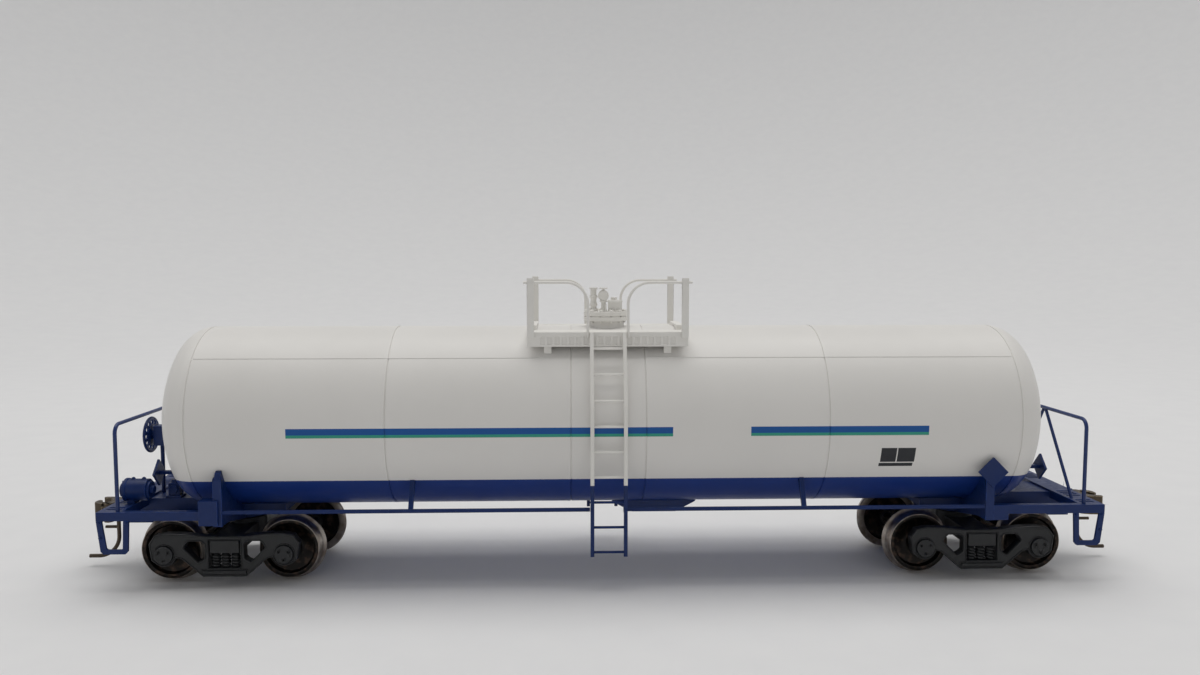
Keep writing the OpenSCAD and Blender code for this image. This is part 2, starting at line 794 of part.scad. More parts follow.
// Relief valve, and a hand valve with a round wheel facing the side
module top_valves() {
    color(white) {
        translate([relief_x, 0, cover_top_z]) {
            cylinder(r = 0.85, h = 0.4);
            cylinder(r = 0.55, h = 4.2);
            translate([0, 0, 1]) cylinder(r = 0.72, h = 0.4);
            translate([0, 0, 2.45]) cylinder(r = 0.75, h = 0.35);
            translate([0, 0, 4]) cylinder(r = 0.75, h = 0.35);
        }
        translate([hand_x, -0.9, cover_top_z]) {
            cylinder(r = 0.6, h = 0.4);
            cylinder(r = 0.42, h = 2.9);
            translate([0.35, -0.6, 0]) cylinder(r = 0.18, h = 1.4);
            translate([0, 0, 1.75]) cylinder(r = 0.72, h = 0.25);
            translate([0, 0, 2.9]) {
                rod_y(-0.75, 0.6, 0.45);
                rod_y(-0.8, -0.45, 0.88);
            }
            translate([0, 0, 3.2]) cylinder(r = 0.25, h = 1.1);
            translate([0, 0, 4.1]) cylinder(r = 0.8, h = 0.25);
        }
    }
}

// Low housing over the remaining fittings, with a row of studs along its foot
module valve_box() {
    x0 = 0.5;
    x1 = 3;
    h = 2.05;
    color(white) translate([0, 0, cover_top_z]) {
        block([x0, -1.45, 0], [x1, 1.3, h]);
        block([x0, -1.6, 0], [x1, 1.4, 0.3]);
        block([x0 - 0.1, -1.55, h - 0.35], [x1 + 0.1, 1.4, h - 0.15]);
        for (x = [x0 + 0.25 : 0.5 : x1]) translate([x, -1.5, 0.2]) cylinder(r = 0.16, h = 0.3);
        for (x = [1.65, 2.75]) translate([x, -0.9, h - tiny]) cylinder(r = 0.2, h = 0.4);
        translate([1.6, 0.5, h - tiny]) cylinder(r = 0.6, h = 0.5);
    }
}

// ---------- brake gear at the left end ----------

// Brake stand: winder housing on an arm from the tank head, with its staff on the stub sill
module brake_stand() {
    color(blue) left_end() difference() {
        union() {
            block([brake_stand_x - 0.9, -1.1, brake_wheel_z - 1.9],
                [brake_stand_x + 0.9, 1.1, brake_wheel_z + 1.7]);
            translate([brake_stand_x, 0, brake_wheel_z]) rod_x(0, 1.3, 0.8);
            block([barrel_half, -0.5, brake_wheel_z - 0.5],
                [brake_stand_x - 0.9 + tiny, 0.5, brake_wheel_z + 0.5]);
            translate([brake_stand_x, 0.5, sill_top_z])
                cylinder(r = 0.35, h = brake_wheel_z - 1.8 - sill_top_z);
        }
        tank_envelope(seat_gap);
        translate([brake_stand_x, 0, brake_wheel_z]) rod_x(-0.4, 3, 0.3);
    }
}

// Dished hand wheel on its spindle, with a ring of round holes inside its rim
module brake_wheel() {
    web_t = 0.36;
    color(blue) left_end() translate([brake_stand_x + 1.3, 0, brake_wheel_z]) difference() {
        union() {
            rotate([0, 90, 0]) rotate_extrude() {
                translate([brake_wheel_r - 0.25, 0.4]) circle(r = 0.25);
                polygon([[0.6, 0.05], [brake_wheel_r - 0.3, 0.4 - web_t / 2],
                    [brake_wheel_r - 0.3, 0.4 + web_t / 2], [0.6, 0.05 + web_t]]);
            }
            rod_x(0, 0.85, 0.7);
            rod_x(-1.6, 0.4, 0.3);
        }
        for (i = [0 : wheel_holes - 1]) rotate([i * 360 / wheel_holes, 0, 0])
            translate([-1, 0, brake_wheel_r - 0.95]) rod_x(0, 3, wheel_hole_r);
    }
}

// Air reservoir on a cradle over the walkway: a drum with a bolted flange at its outer end
module air_reservoir() {
    z = deck_z + 0.4 + reservoir_r;
    x0 = frame_half - 6.1;
    x1 = frame_half - 2.5;
    color(blue) left_end() {
        translate([0, reservoir_y, z]) {
            rod_x(x0, x1, reservoir_r);
            rod_x(x0 - 0.4, x1, reservoir_r - 0.4);
            rod_x(x0 - 0.9, x1, 0.7);
            rod_x(x1 - 0.1, x1 + 0.4, reservoir_r + 0.15);
            rod_x(x1, x1 + 1.1, reservoir_r - 0.7);
            for (a = [22.5 : 45 : 359]) rotate([a, 0, 0])
                translate([0, 0, reservoir_r - 0.3]) rod_x(x1 + 0.3, x1 + 0.7, 0.25);
            for (x = [x0 + 0.9, x1 - 0.9]) translate([x, 0, reservoir_r]) sphere(r = 0.35);
        }
        block([x1 - 1.3, reservoir_y - 1, deck_z], [x1 - 0.1, reservoir_y + 1, z - 0.8]);
    }
}

// Control valve: a flanged casting on top of the stub sill
module control_valve() {
    x = frame_half - 8.2;
    color(blue) left_end() translate([x, -2.7, sill_top_z]) {
        block([-1.4, -1.2, 0], [1.4, 1.2, 0.4]);
        block([-1, -0.9, 0.3], [1, 0.9, 2.6]);
        translate([0, 0, 1.5]) rod_y(-1.3, 1.3, 0.8);
        translate([0, 0, 2.5]) cylinder(r = 0.75, h = 0.7);
    }
}

// ---------- couplers ----------

// Lid that closes the coupler pocket from below
module coupler_box_lids() {
    color(blue) both_ends() difference() {
        block([box_x0, -box_half_w, pocket_low_z - lid_t], [box_x1, box_half_w, pocket_low_z]);
        translate([coupler_x, 0, 0]) cylinder(r = screw_r + 0.03, h = pocket_low_z + 1);
    }
}

// Centring spring: a leaf across the back of the pocket with a finger on each side
module centring_springs() {
    x0 = box_x0 + box_wall;
    color("goldenrod") both_ends() {
        block([x0, -2.8, coupler_z - 0.5], [x0 + 0.15, 2.8, coupler_z + 0.5]);
        both_sides() block([x0, 2.7, coupler_z - 0.5], [x0 + 3, 2.85, coupler_z + 0.5]);
    }
}

// Coupler outlines are drawn with u outwards and v to the left, from the pivot
module at_coupler() translate([coupler_x, 0, coupler_z]) children();

module coupler_plate(half_h) {
    translate([0, 0, -half_h]) linear_extrude(2 * half_h) children();
}

// Shank and head with the guard arm, and two lugs for the knuckle's pin
module coupler_body() {
    color(bronze) at_coupler() {
        difference() {
            union() {
                coupler_plate(shank_t / 2) {
                    circle(r = 2.45);
                    translate([0, -1.1]) square([8, 2.2]);
                }
                coupler_plate(head_half_h)
                    polygon([[7.2, -1], [8.2, -2.3], [9.6, -2.8], [11.6, -2.9], [11.9, -2.5],
                        [11.7, -2], [10.2, -1.5], [9.5, -0.6], [9.3, 0.75], [8, 1.1], [7.2, 1]]);
                for (s = [-1, 1]) translate([0, 0, s * (head_half_h - 0.3) - 0.3])
                    linear_extrude(0.6) {
                        translate([knuckle_pin_u, knuckle_pin_v]) circle(r = 0.85);
                        polygon([[7.6, 0.4], [9.2, 0.6], [9.5, 1.2], [8.6, 2.5], [7.8, 1.2]]);
                    }
            }
            coupler_plate(3) circle(r = post_r + pivot_gap);
            coupler_plate(3) translate([trip_u, 0]) circle(r = trip_r);
        }
        translate([knuckle_pin_u, knuckle_pin_v, -head_half_h])
            cylinder(r = knuckle_pin_r, h = 2 * head_half_h);
    }
}

// Knuckle that hooks round its mate and swings open on its pin
module knuckle() {
    hub_half = head_half_h - 0.6 - 0.06;
    color(bronze) at_coupler() difference() {
        union() {
            coupler_plate(hub_half) {
                translate([knuckle_pin_u, knuckle_pin_v]) circle(r = 0.8);
                polygon([[knuckle_pin_u, 1.15], [10.6, 1.1], [10.6, 2.3], [knuckle_pin_u, 2.65]]);
            }
            coupler_plate(head_half_h)
                polygon([[10.15, 1.15], [10.9, 0.9], [11.1, -0.1], [11.5, -0.4], [11.95, -0.1],
                    [12, 1], [11.6, 1.9], [10.7, 2.4], [10.15, 2.5]]);
        }
        coupler_plate(3) translate([knuckle_pin_u, knuckle_pin_v])
            circle(r = knuckle_pin_r + pivot_gap);
    }
}

// Curved steel pin pressed through the head, hanging down and out over the rails,
// with a short stub that points outwards under the head
module trip_pin() {
    color("dimgray") translate([coupler_x + trip_u, 0, 0]) {
        translate([0, 0, trip_low_z + trip_bend])
            cylinder(r = trip_r, h = coupler_z + head_half_h - trip_low_z - trip_bend);
        translate([trip_bend, 0, trip_low_z + trip_bend])
            rotate([0, 180, 0]) bend_xz(trip_bend, trip_r);
        translate([0, 0, trip_low_z]) rod_x(trip_bend, trip_reach - trip_u, trip_r);
        translate([0, 0, coupler_z - stub_drop]) rod_x(0, stub_len, trip_r * 0.8);
    }
}

// Bent lever across half of each end, for lifting the coupler's pin
module cut_levers() {
    x = frame_half + 0.22;
    r = 0.22;
    end_y = -frame_half_w + 1.9;
    color(blue) half_turn() {
        translate([x, 0, deck_z - 0.8]) {
            rod_y(end_y, -1.2, r);
            translate([0, end_y, -2.2]) cylinder(r = r, h = 2.2 + r);
            translate([0, -1.2, 0]) rod_x(-r, 1.6, r);
            for (y = [end_y + 1.6, end_y + 8.1]) block([-0.22, y - 0.3, -0.35], [0.3, y + 0.3, 0.35]);
        }
    }
}

// ---------- trucks ----------

// Outline of one half of a side frame, along the truck and upwards
module side_frame_half() {
    hw = wheelbase / 2;
    difference() {
        translate([0, axle_z]) {
            polygon([[0, -3.95], [3.7, -3.95], [hw - 3, -0.85], [hw - 1.9, -0.5],
                [hw - 1.2, -1.6], [hw + 1.2, -1.8], [hw + 2.2, -1], [hw + 2.6, 1.9],
                [hw + 1.6, 3.3], [hw - 0.2, 3.65], [hw - 3, 3.6], [3.4, 3.2], [0, 3.2]]);
            translate([hw, 0]) circle(r = 2.1);
        }
        translate([0, axle_z]) intersection() {
            polygon([[hw - 3.2, 2.25], [3.4, 2.25], [3.4, -1.4], [4.4, -1.4], [hw - 3.2, 1.2]]);
            translate([hw - 5.2, 0.6]) circle(r = 1.95);
        }
        translate([-1, window_low_z]) square([1 + window_w / 2, window_top_z - window_low_z]);
    }
}

// Cast side frame with a conical bearing cup for each axle point
module side_frame() {
    hw = wheelbase / 2;
    difference() {
        union() {
            translate([0, frame_out, 0]) rotate([90, 0, 0])
                linear_extrude(frame_t) both_halves() side_frame_half();
            both_ends() {
                translate([hw, 0, axle_z]) rod_y(frame_out - 0.2, frame_out + 0.5, 1.55);
                translate([hw, 0, axle_z]) for (a = [90, 210, 330]) rotate([0, a, 0])
                    translate([0.95, 0, 0]) rod_y(frame_out + 0.4, frame_out + 0.7, 0.22);
            }
            block([-3.7, frame_out - tiny, frame_bottom_z + 0.5],
                [3.7, frame_out + 0.25, frame_bottom_z + 1.1]);
        }
        both_ends() translate([hw, frame_in - tiny, axle_z]) rotate([-90, 0, 0])
            cylinder(r1 = point_r(frame_in - tiny) + axle_gap,
                r2 = point_r(axle_half) + axle_gap, h = axle_half + axle_gap - frame_in);
    }
}

// Radius of an axle's cone at a distance y from the centre line
function point_r(y) = point_tip_r + (axle_half - y) * tan(30);

module truck_frames() color(black) both_sides() side_frame();

// Bolster beam through both side frames, with the centre plate that the body turns on
module truck_bolster() {
    beam_half = window_w / 2 - 0.25;
    color(black) difference() {
        union() {
            block([-beam_half, -frame_out, truck_beam_low_z],
                [beam_half, frame_out, window_top_z - seat_gap]);
            block([-beam_half, -frame_in + 0.6, truck_beam_low_z],
                [beam_half, frame_in - 0.6, window_top_z + 0.4]);
            cylinder(r = 3.3, h = truck_plate_z);
        }
        translate([0, 0, -1]) cylinder(r = 4, h = truck_beam_low_z + 1);
        cylinder(r = screw_r + pivot_gap, h = 20);
        cylinder(r = screw_head_r + 0.15, h = head_seat_z);
    }
}

// Three coil springs under each end of the bolster
module truck_springs() {
    h = truck_beam_low_z - window_low_z;
    coils = 4;
    wire = h / coils;
    color(black) both_sides() for (x = [-1.7, 0, 1.7])
        translate([x, frame_out - frame_t / 2, window_low_z]) {
            cylinder(r = 0.5, h = h);
            for (i = [0 : coils - 1]) translate([0, 0, (i + 0.5) * wire])
                rotate_extrude() translate([0.5, 0]) circle(r = wire * 0.42, $fn = 24);
        }
}

// Distance of axle n from the middle of the wagon, counted from the left
function axle_x(n) = [-truck_x - wheelbase / 2, -truck_x + wheelbase / 2,
    truck_x - wheelbase / 2, truck_x + wheelbase / 2][n - 1];

module at_axle(n) translate([axle_x(n), 0, axle_z]) children();

// Axle with a cone turned on each end
module axle(n) {
    cone_y = frame_in - 0.15;
    color(steel) at_axle(n) {
        rod_y(-cone_y, cone_y, axle_r - 0.12);
        rod_y(-back_to_back / 2 - wheel_w, back_to_back / 2 + wheel_w, axle_r);
        both_sides() translate([0, cone_y, 0]) rotate([-90, 0, 0])
            cylinder(r1 = point_r(cone_y), r2 = point_tip_r, h = axle_half - cone_y);
    }
}

// Outline of a wheel, radius along X and distance from the wheel's back along Y
module wheel_outline(bore) {
    t = tread_r;
    w = wheel_w;
    polygon([[bore, 0], [1.8, 0], [2.1, w * 0.25], [t - 1, w * 0.32], [t - 0.75, 0],
        [t + flange_h * 0.55, 0], [t + flange_h, 0.22], [t + flange_h, 0.42],
        [t + flange_h * 0.3, 0.72], [t + 0.04, 0.95], [t - 0.04, w - 0.15], [t - 0.2, w],
        [t - 0.85, w], [t - 1.05, w * 0.72], [2.1, w * 0.64], [1.8, w], [bore, w]]);
}

module wheel(bore) {
    translate([0, back_to_back / 2, 0]) rotate([-90, 0, 0])
        rotate_extrude($fn = 96) wheel_outline(bore);
}

// Two wheels: one pressed on the axle, the other on its insulating bush
module wheels(n) {
    color(steel) at_axle(n) {
        wheel(bush_r);
        mirror([0, 1, 0]) wheel(axle_r);
    }
}

module wheel_bush(n) {
    color("black") at_axle(n) translate([0, back_to_back / 2, 0]) rotate([-90, 0, 0])
        difference() {
            cylinder(r = bush_r, h = wheel_w);
            translate([0, 0, -1]) cylinder(r = axle_r, h = wheel_w + 2);
        }
}

module at_truck(side) translate([side * truck_x, 0, 0]) children();

tank_barrel();
left_end() tank_head();  // tank_head_left
tank_head();  // tank_head_right
ballast_weight();
frame_screws();
left_end() stub_sill();  // stub_sill_left
stub_sill();  // stub_sill_right
left_end() body_bolster();  // body_bolster_left
body_bolster();  // body_bolster_right
side_sills();
left_end() end_platform();  // end_platform_left
end_platform();  // end_platform_right
end_rail_left();
end_rail_right();
step_irons();
placard_boards();
platform_deck();
platform_brackets();
platform_posts();
platform_rails();
ladder_uppers();
ladder_lowers();
side_rails();
outlet_skid();
brake_rod();
manway_cover();
manway_bolts();
top_valves();
valve_box();
brake_stand();
brake_wheel();
air_reservoir();
control_valve();
coupler_box_lids();
cut_levers();
centring_springs();
rotate([0, 0, 180]) coupler_body();  // coupler_left
rotate([0, 0, 180]) trip_pin();  // trip_pin_left
rotate([0, 0, 180]) knuckle();  // knuckle_left
coupler_body();  // coupler_right
trip_pin();  // trip_pin_right
knuckle();  // knuckle_right
at_truck(-1) truck_bolster();  // truck_bolster_left
at_truck(-1) truck_frames();  // truck_frames_left
at_truck(-1) truck_springs();  // truck_springs_left
at_truck(1) truck_bolster();  // truck_bolster_right
at_truck(1) truck_frames();  // truck_frames_right
at_truck(1) truck_springs();  // truck_springs_right
axle(1);  // axle_1
wheels(1);  // wheels_1
wheel_bush(1);  // wheel_bush_1
axle(2);  // axle_2
wheels(2);  // wheels_2
wheel_bush(2);  // wheel_bush_2
axle(3);  // axle_3
wheels(3);  // wheels_3
wheel_bush(3);  // wheel_bush_3
axle(4);  // axle_4
wheels(4);  // wheels_4
wheel_bush(4);  // wheel_bush_4
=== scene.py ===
import json
import math

import bmesh
import bpy
from mathutils import Matrix, Vector


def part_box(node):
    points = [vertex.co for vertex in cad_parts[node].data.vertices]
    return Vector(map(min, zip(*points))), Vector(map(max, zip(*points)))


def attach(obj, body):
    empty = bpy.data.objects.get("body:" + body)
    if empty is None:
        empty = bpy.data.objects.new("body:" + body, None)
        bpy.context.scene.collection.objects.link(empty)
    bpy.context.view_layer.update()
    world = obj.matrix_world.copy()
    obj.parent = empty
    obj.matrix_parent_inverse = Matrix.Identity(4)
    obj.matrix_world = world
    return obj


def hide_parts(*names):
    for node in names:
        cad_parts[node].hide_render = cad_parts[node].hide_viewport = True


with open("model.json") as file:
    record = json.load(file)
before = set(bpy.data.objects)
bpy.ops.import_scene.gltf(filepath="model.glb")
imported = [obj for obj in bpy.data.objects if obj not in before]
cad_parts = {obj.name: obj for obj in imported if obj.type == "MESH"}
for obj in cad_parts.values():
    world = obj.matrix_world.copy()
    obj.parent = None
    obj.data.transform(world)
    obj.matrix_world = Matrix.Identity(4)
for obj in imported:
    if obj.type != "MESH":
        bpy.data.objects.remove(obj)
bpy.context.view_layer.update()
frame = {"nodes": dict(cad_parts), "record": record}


# ---------------------------------------------------------------- table and light
# The wagon stands on a sheet of matt white paper that bends up slowly all round into a wall.
# One very large soft lamp hangs high over it, and the room above the wall adds an even light.

mm = 0.001


def srgb(code):
    """A colour written as six hex figures, turned into linear light."""
    shares = [int(code[i:i + 2], 16) / 255 for i in (1, 3, 5)]
    return [c / 12.92 if c <= 0.04045 else ((c + 0.055) / 1.055) ** 2.4 for c in shares] + [1]


def add(tree, kind, inputs=None, **settings):
    """Adds a node. Each input is given a value, or the output that it is linked to."""
    made = tree.nodes.new(kind)
    for name, value in settings.items():
        setattr(made, name, value)
    for key, value in (inputs or {}).items():
        if isinstance(value, bpy.types.NodeSocket):
            tree.links.new(value, made.inputs[key])
        else:
            made.inputs[key].default_value = value
    return made


def new_finish(name, **fixed):
    """A new material with one shader, whose plain values are set on the shader itself."""
    finish = bpy.data.materials.new(name)
    finish.use_nodes = True
    shader = finish.node_tree.nodes["Principled BSDF"]
    for socket, value in fixed.items():
        shader.inputs[socket.replace("_", " ")].default_value = value
    return finish, finish.node_tree, shader


def settle(name, work, finishes, sharp=35):
    """Makes an object of a bmesh, smooth but for the edges that bend more than sharp degrees."""
    mesh = bpy.data.meshes.new(name)
    for face in work.faces:
        face.smooth = True
    work.to_mesh(mesh)
    work.free()
    for finish in finishes:
        mesh.materials.append(finish)
    mesh.set_sharp_from_angle(angle=math.radians(sharp))
    piece = bpy.data.objects.new(name, mesh)
    bpy.context.scene.collection.objects.link(piece)
    return piece


def turned(name, outline, place, finishes, steps=96, closed=False, inner=0, sharp=35):
    """A shape turned on a lathe from (radius, height) points, which close on themselves or end on
    the axis. Faces nearer the axis than inner take the second finish. U runs round, V along."""
    work = bmesh.new()
    uv = work.loops.layers.uv.new("turned")
    along = [0]
    for a, b in zip(outline, outline[1:] + outline[:1]):
        along.append(along[-1] + math.dist(a, b))
    rings = []
    for radius, height in outline:
        turns = [2 * math.pi * s / steps for s in range(steps if radius else 1)]
        rings.append([work.verts.new(place @ Vector((radius * math.cos(t), radius * math.sin(t), height)))
                      for t in turns])
    for i in range(len(rings) if closed else len(rings) - 1):
        near, far = rings[i], rings[(i + 1) % len(rings)]
        middle = (outline[i][0] + outline[(i + 1) % len(rings)][0]) / 2
        for s in range(steps):
            corners = [(near, s, 0), (near, s + 1, 0), (far, s + 1, 1), (far, s, 1)]
            if len(near) == 1:
                corners.pop(0)
            if len(far) == 1:
                corners.pop()
            face = work.faces.new([ring[k % len(ring)] for ring, k, side in corners])
            face.material_index = 1 if middle < inner else 0
            for loop, (ring, k, side) in zip(face.loops, corners):
                loop[uv].uv = (k / steps, along[i + side])
    bmesh.ops.recalc_face_normals(work, faces=work.faces)
    return settle(name, work, finishes, sharp)


def arc(centre, radius, start, end, steps):
    """Points of an arc in the (radius, height) plane, its angles in degrees from the axis."""
    angles = [math.radians(start + (end - start) * i / steps) for i in range(steps + 1)]
    return [(centre[0] + radius * math.sin(a), centre[1] + radius * math.cos(a)) for a in angles]


# Paper: matt, even, with the faint cloudiness of its pulp, drawn coarse enough to show
paper, tree, shader = new_finish("matt_paper", Roughness=0.85, Specular_IOR_Level=0.25)
place = add(tree, "ShaderNodeTexCoord").outputs["Object"]
pulp = add(tree, "ShaderNodeTexNoise", {"Vector": place, "Scale": 1 / (9 * mm), "Detail": 6})
tint = add(tree, "ShaderNodeMix", {0: pulp.outputs["Fac"], 6: srgb("#E9E9E9"), 7: srgb("#E3E3E4")},
           data_type="RGBA")
tree.links.new(tint.outputs[2], shader.inputs["Base Color"])

floor_r, bend_r, wall_h = 0.42, 0.9, 0.3
bend = [math.radians(a) for a in range(0, 91, 6)]
sweep_line = [(0, 0), (0.1, 0), (0.35, 0)]
sweep_line += [(floor_r + bend_r * math.sin(a), bend_r * (1 - math.cos(a))) for a in bend]
sweep_line += [(floor_r + bend_r, bend_r + wall_h)]
sweep = turned("paper_sweep", sweep_line, Matrix(), [paper], steps=128)
sweep.data.flip_normals()

world = bpy.data.worlds.new("room")
bpy.context.scene.world = world
world.use_nodes = True
world.node_tree.nodes["Background"].inputs["Color"].default_value = srgb("#F6F6F6")
world.node_tree.nodes["Background"].inputs["Strength"].default_value = 0.34

lamp = bpy.data.lights.new("soft_lamp", "AREA")
lamp.shape = "RECTANGLE"
lamp.size, lamp.size_y = 1.2, 0.8
lamp.energy = 6.6
lamp.color = (1, 0.99, 0.975)
lamp_object = bpy.data.objects.new("soft_lamp", lamp)
lamp_object.location = (0.02, 0.15, 1.0)
bpy.context.scene.collection.objects.link(lamp_object)

# The camera looks at the wagon's side from just above it, tilted a little down
camera_data = bpy.data.cameras.new("camera")
camera_data.sensor_width = 36
camera_data.lens = 28.53
camera_data.clip_start = 0.005
camera = bpy.data.objects.new("camera", camera_data)
camera.location = (-0.00665, -0.1751, 0.0556)
camera.rotation_euler = (math.radians(90 - 4.4), 0, math.radians(-1.85))
bpy.context.scene.collection.objects.link(camera)
bpy.context.scene.camera = camera
bpy.context.scene.view_settings.view_transform = "Standard"


# ---------------------------------------------------------------- tank
# The tank is moulded as a barrel and two dished ends, in ABS, and sprayed: white above and navy
# below a masked line. The bands and the data panels are pad printed on both sides.

low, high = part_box("tank_barrel")
tank_r = (high.y - low.y) / 2
tank_z = low.z + tank_r
barrel_half = high.x
neck_top_z = high.z
wall = 1.1 * mm
seam_deep = 0.12 * mm
seam_wide = 0.24 * mm
inner_seam_x, outer_seam_x = 6.4 * mm, 37.7 * mm
body_of = {node: body for body, held in frame["record"]["behaviour"]["bodies"].items() for node in held}
along_x = Matrix.Rotation(math.radians(90), 4, "Y")
about_tank = Matrix.Translation((0, 0, tank_z)) @ along_x

paint_line_z = 18.58 * mm
# Printed shapes: where each starts and ends along the wagon and in height, in millimetres, as
# seen from the side that it is on
blue_bands = [(-54.2, 10.9, 27.02, 28.12), (24.2, 54.8, 27.02, 28.12)]
green_bands = [(-54.2, 10.9, 26.5, 27.02), (24.2, 54.8, 26.5, 27.02)]
black_panels = [(46.85, 49.55, 21.6, 24.2), (49.73, 52.8, 21.6, 24.2), (46.7, 52.6, 20.78, 21.41)]


def printed(tree, u, z, shapes):
    """1 inside any of the printed shapes, and 0 elsewhere."""
    total = None
    for x0, x1, z0, z1 in shapes:
        sides = []
        for value, middle, half in ((u, (x0 + x1) / 2, (x1 - x0) / 2), (z, (z0 + z1) / 2, (z1 - z0) / 2)):
            sides.append(add(tree, "ShaderNodeMath", {0: value, 1: middle * mm, 2: half * mm},
                             operation="COMPARE").outputs[0])
        both = add(tree, "ShaderNodeMath", {0: sides[0], 1: sides[1]}, operation="MULTIPLY").outputs[0]
        total = both if total is None else add(
            tree, "ShaderNodeMath", {0: total, 1: both}, operation="MAXIMUM").outputs[0]
    return total


# Sprayed enamel on ABS: a semi-gloss skin with a fine orange peel, a slow waviness under it, and
# the print lying a touch glossier than the spray
tank_paint, tree, shader = new_finish("sprayed_enamel", IOR=1.5, Specular_IOR_Level=0.32)
place = add(tree, "ShaderNodeTexCoord").outputs["Object"]
axes = add(tree, "ShaderNodeSeparateXYZ", {0: place})
facing = add(tree, "ShaderNodeMath", {0: axes.outputs["Y"]}, operation="SIGN")
mirrored = add(tree, "ShaderNodeMath", {0: facing.outputs[0], 1: -1}, operation="MULTIPLY")
along = add(tree, "ShaderNodeMath", {0: axes.outputs["X"], 1: mirrored.outputs[0]}, operation="MULTIPLY")
u, z = along.outputs[0], axes.outputs["Z"]

cloud = add(tree, "ShaderNodeTexNoise", {"Vector": place, "Scale": 1 / (14 * mm), "Detail": 4})
white = add(tree, "ShaderNodeMix", {0: cloud.outputs["Fac"], 6: srgb("#E9E7E3"), 7: srgb("#E1DFDB")},
            data_type="RGBA").outputs[2]
navy = add(tree, "ShaderNodeMix", {0: cloud.outputs["Fac"], 6: srgb("#183884"), 7: srgb("#153175")},
           data_type="RGBA").outputs[2]
ragged = add(tree, "ShaderNodeTexNoise", {"Vector": place, "Scale": 1 / (0.5 * mm), "Detail": 2})
creep = add(tree, "ShaderNodeMapRange", {"Value": ragged.outputs["Fac"], "To Min": paint_line_z - 0.03 * mm,
                                         "To Max": paint_line_z + 0.03 * mm})
below = add(tree, "ShaderNodeMath", {0: z, 1: creep.outputs[0]}, operation="LESS_THAN").outputs[0]
colour = add(tree, "ShaderNodeMix", {0: below, 6: white, 7: navy}, data_type="RGBA").outputs[2]
in_print = below
for shapes, ink in ((blue_bands, "#0D549C"), (green_bands, "#339A84"), (black_panels, "#2C2E32")):
    inside = printed(tree, u, z, shapes)
    colour = add(tree, "ShaderNodeMix", {0: inside, 6: colour, 7: srgb(ink)}, data_type="RGBA").outputs[2]
    in_print = add(tree, "ShaderNodeMath", {0: in_print, 1: inside}, operation="MAXIMUM").outputs[0]
# Dust and finger marks dull the paint in soft patches
haze = add(tree, "ShaderNodeTexNoise", {"Vector": place, "Scale": 1 / (5 * mm), "Detail": 5,
                                        "Roughness": 0.6})
dull = add(tree, "ShaderNodeMapRange", {"Value": haze.outputs["Fac"], "From Min": 0.3, "From Max": 0.75,
                                        "To Min": 0.35, "To Max": 0.46})
sheen = add(tree, "ShaderNodeMath", {0: in_print, 1: -0.03}, operation="MULTIPLY")
rough = add(tree, "ShaderNodeMath", {0: dull.outputs[0], 1: sheen.outputs[0]}, operation="ADD")
peel = add(tree, "ShaderNodeTexNoise", {"Vector": place, "Scale": 1 / (0.4 * mm), "Detail": 2})
waves = add(tree, "ShaderNodeTexNoise", {"Vector": place, "Scale": 1 / (11 * mm), "Detail": 1})
slow = add(tree, "ShaderNodeBump", {"Height": waves.outputs["Fac"], "Strength": 0.5, "Distance": 0.15 * mm})
fine = add(tree, "ShaderNodeBump", {"Height": peel.outputs["Fac"], "Normal": slow.outputs[0],
                                    "Strength": 0.12, "Distance": 0.004 * mm})
tree.links.new(colour, shader.inputs["Base Color"])
tree.links.new(rough.outputs[0], shader.inputs["Roughness"])
tree.links.new(fine.outputs[0], shader.inputs["Normal"])


def fit(piece, node, replaced=True):
    """Hangs a piece on the body of a CAD node and, when replaced, hides that node so that the piece stands in
    its place.
    """
    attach(piece, body_of[node])
    if replaced:
        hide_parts(node)
    return piece


# Barrel: a tube with a rolled joint at each seam, where one jacket sheet laps over the next
lap_w, lap_h = 0.55 * mm, 0.035 * mm
edge = seam_wide / 2
outside = [(tank_r - seam_deep, -barrel_half), (tank_r - seam_deep, -barrel_half + edge * 0.8),
           (tank_r, -barrel_half + edge)]
for x in (-outer_seam_x, -inner_seam_x, inner_seam_x, outer_seam_x):
    joint = [(tank_r, -lap_w - edge), (tank_r + lap_h, -lap_w), (tank_r + lap_h, -edge),
             (tank_r - seam_deep, -edge * 0.7), (tank_r - seam_deep, edge * 0.7), (tank_r, edge)]
    if x > 0:
        joint = [(r, -h) for r, h in reversed(joint)]
    outside += [(r, x + h) for r, h in joint]
outside += [(tank_r, barrel_half - edge), (tank_r - seam_deep, barrel_half - edge * 0.8),
            (tank_r - seam_deep, barrel_half)]
inside = [(tank_r - wall, barrel_half), (tank_r - wall, -barrel_half)]
barrel = turned("tank_jacket", outside + inside, about_tank, [tank_paint], steps=240, closed=True, sharp=50)
fit(barrel, "tank_barrel")

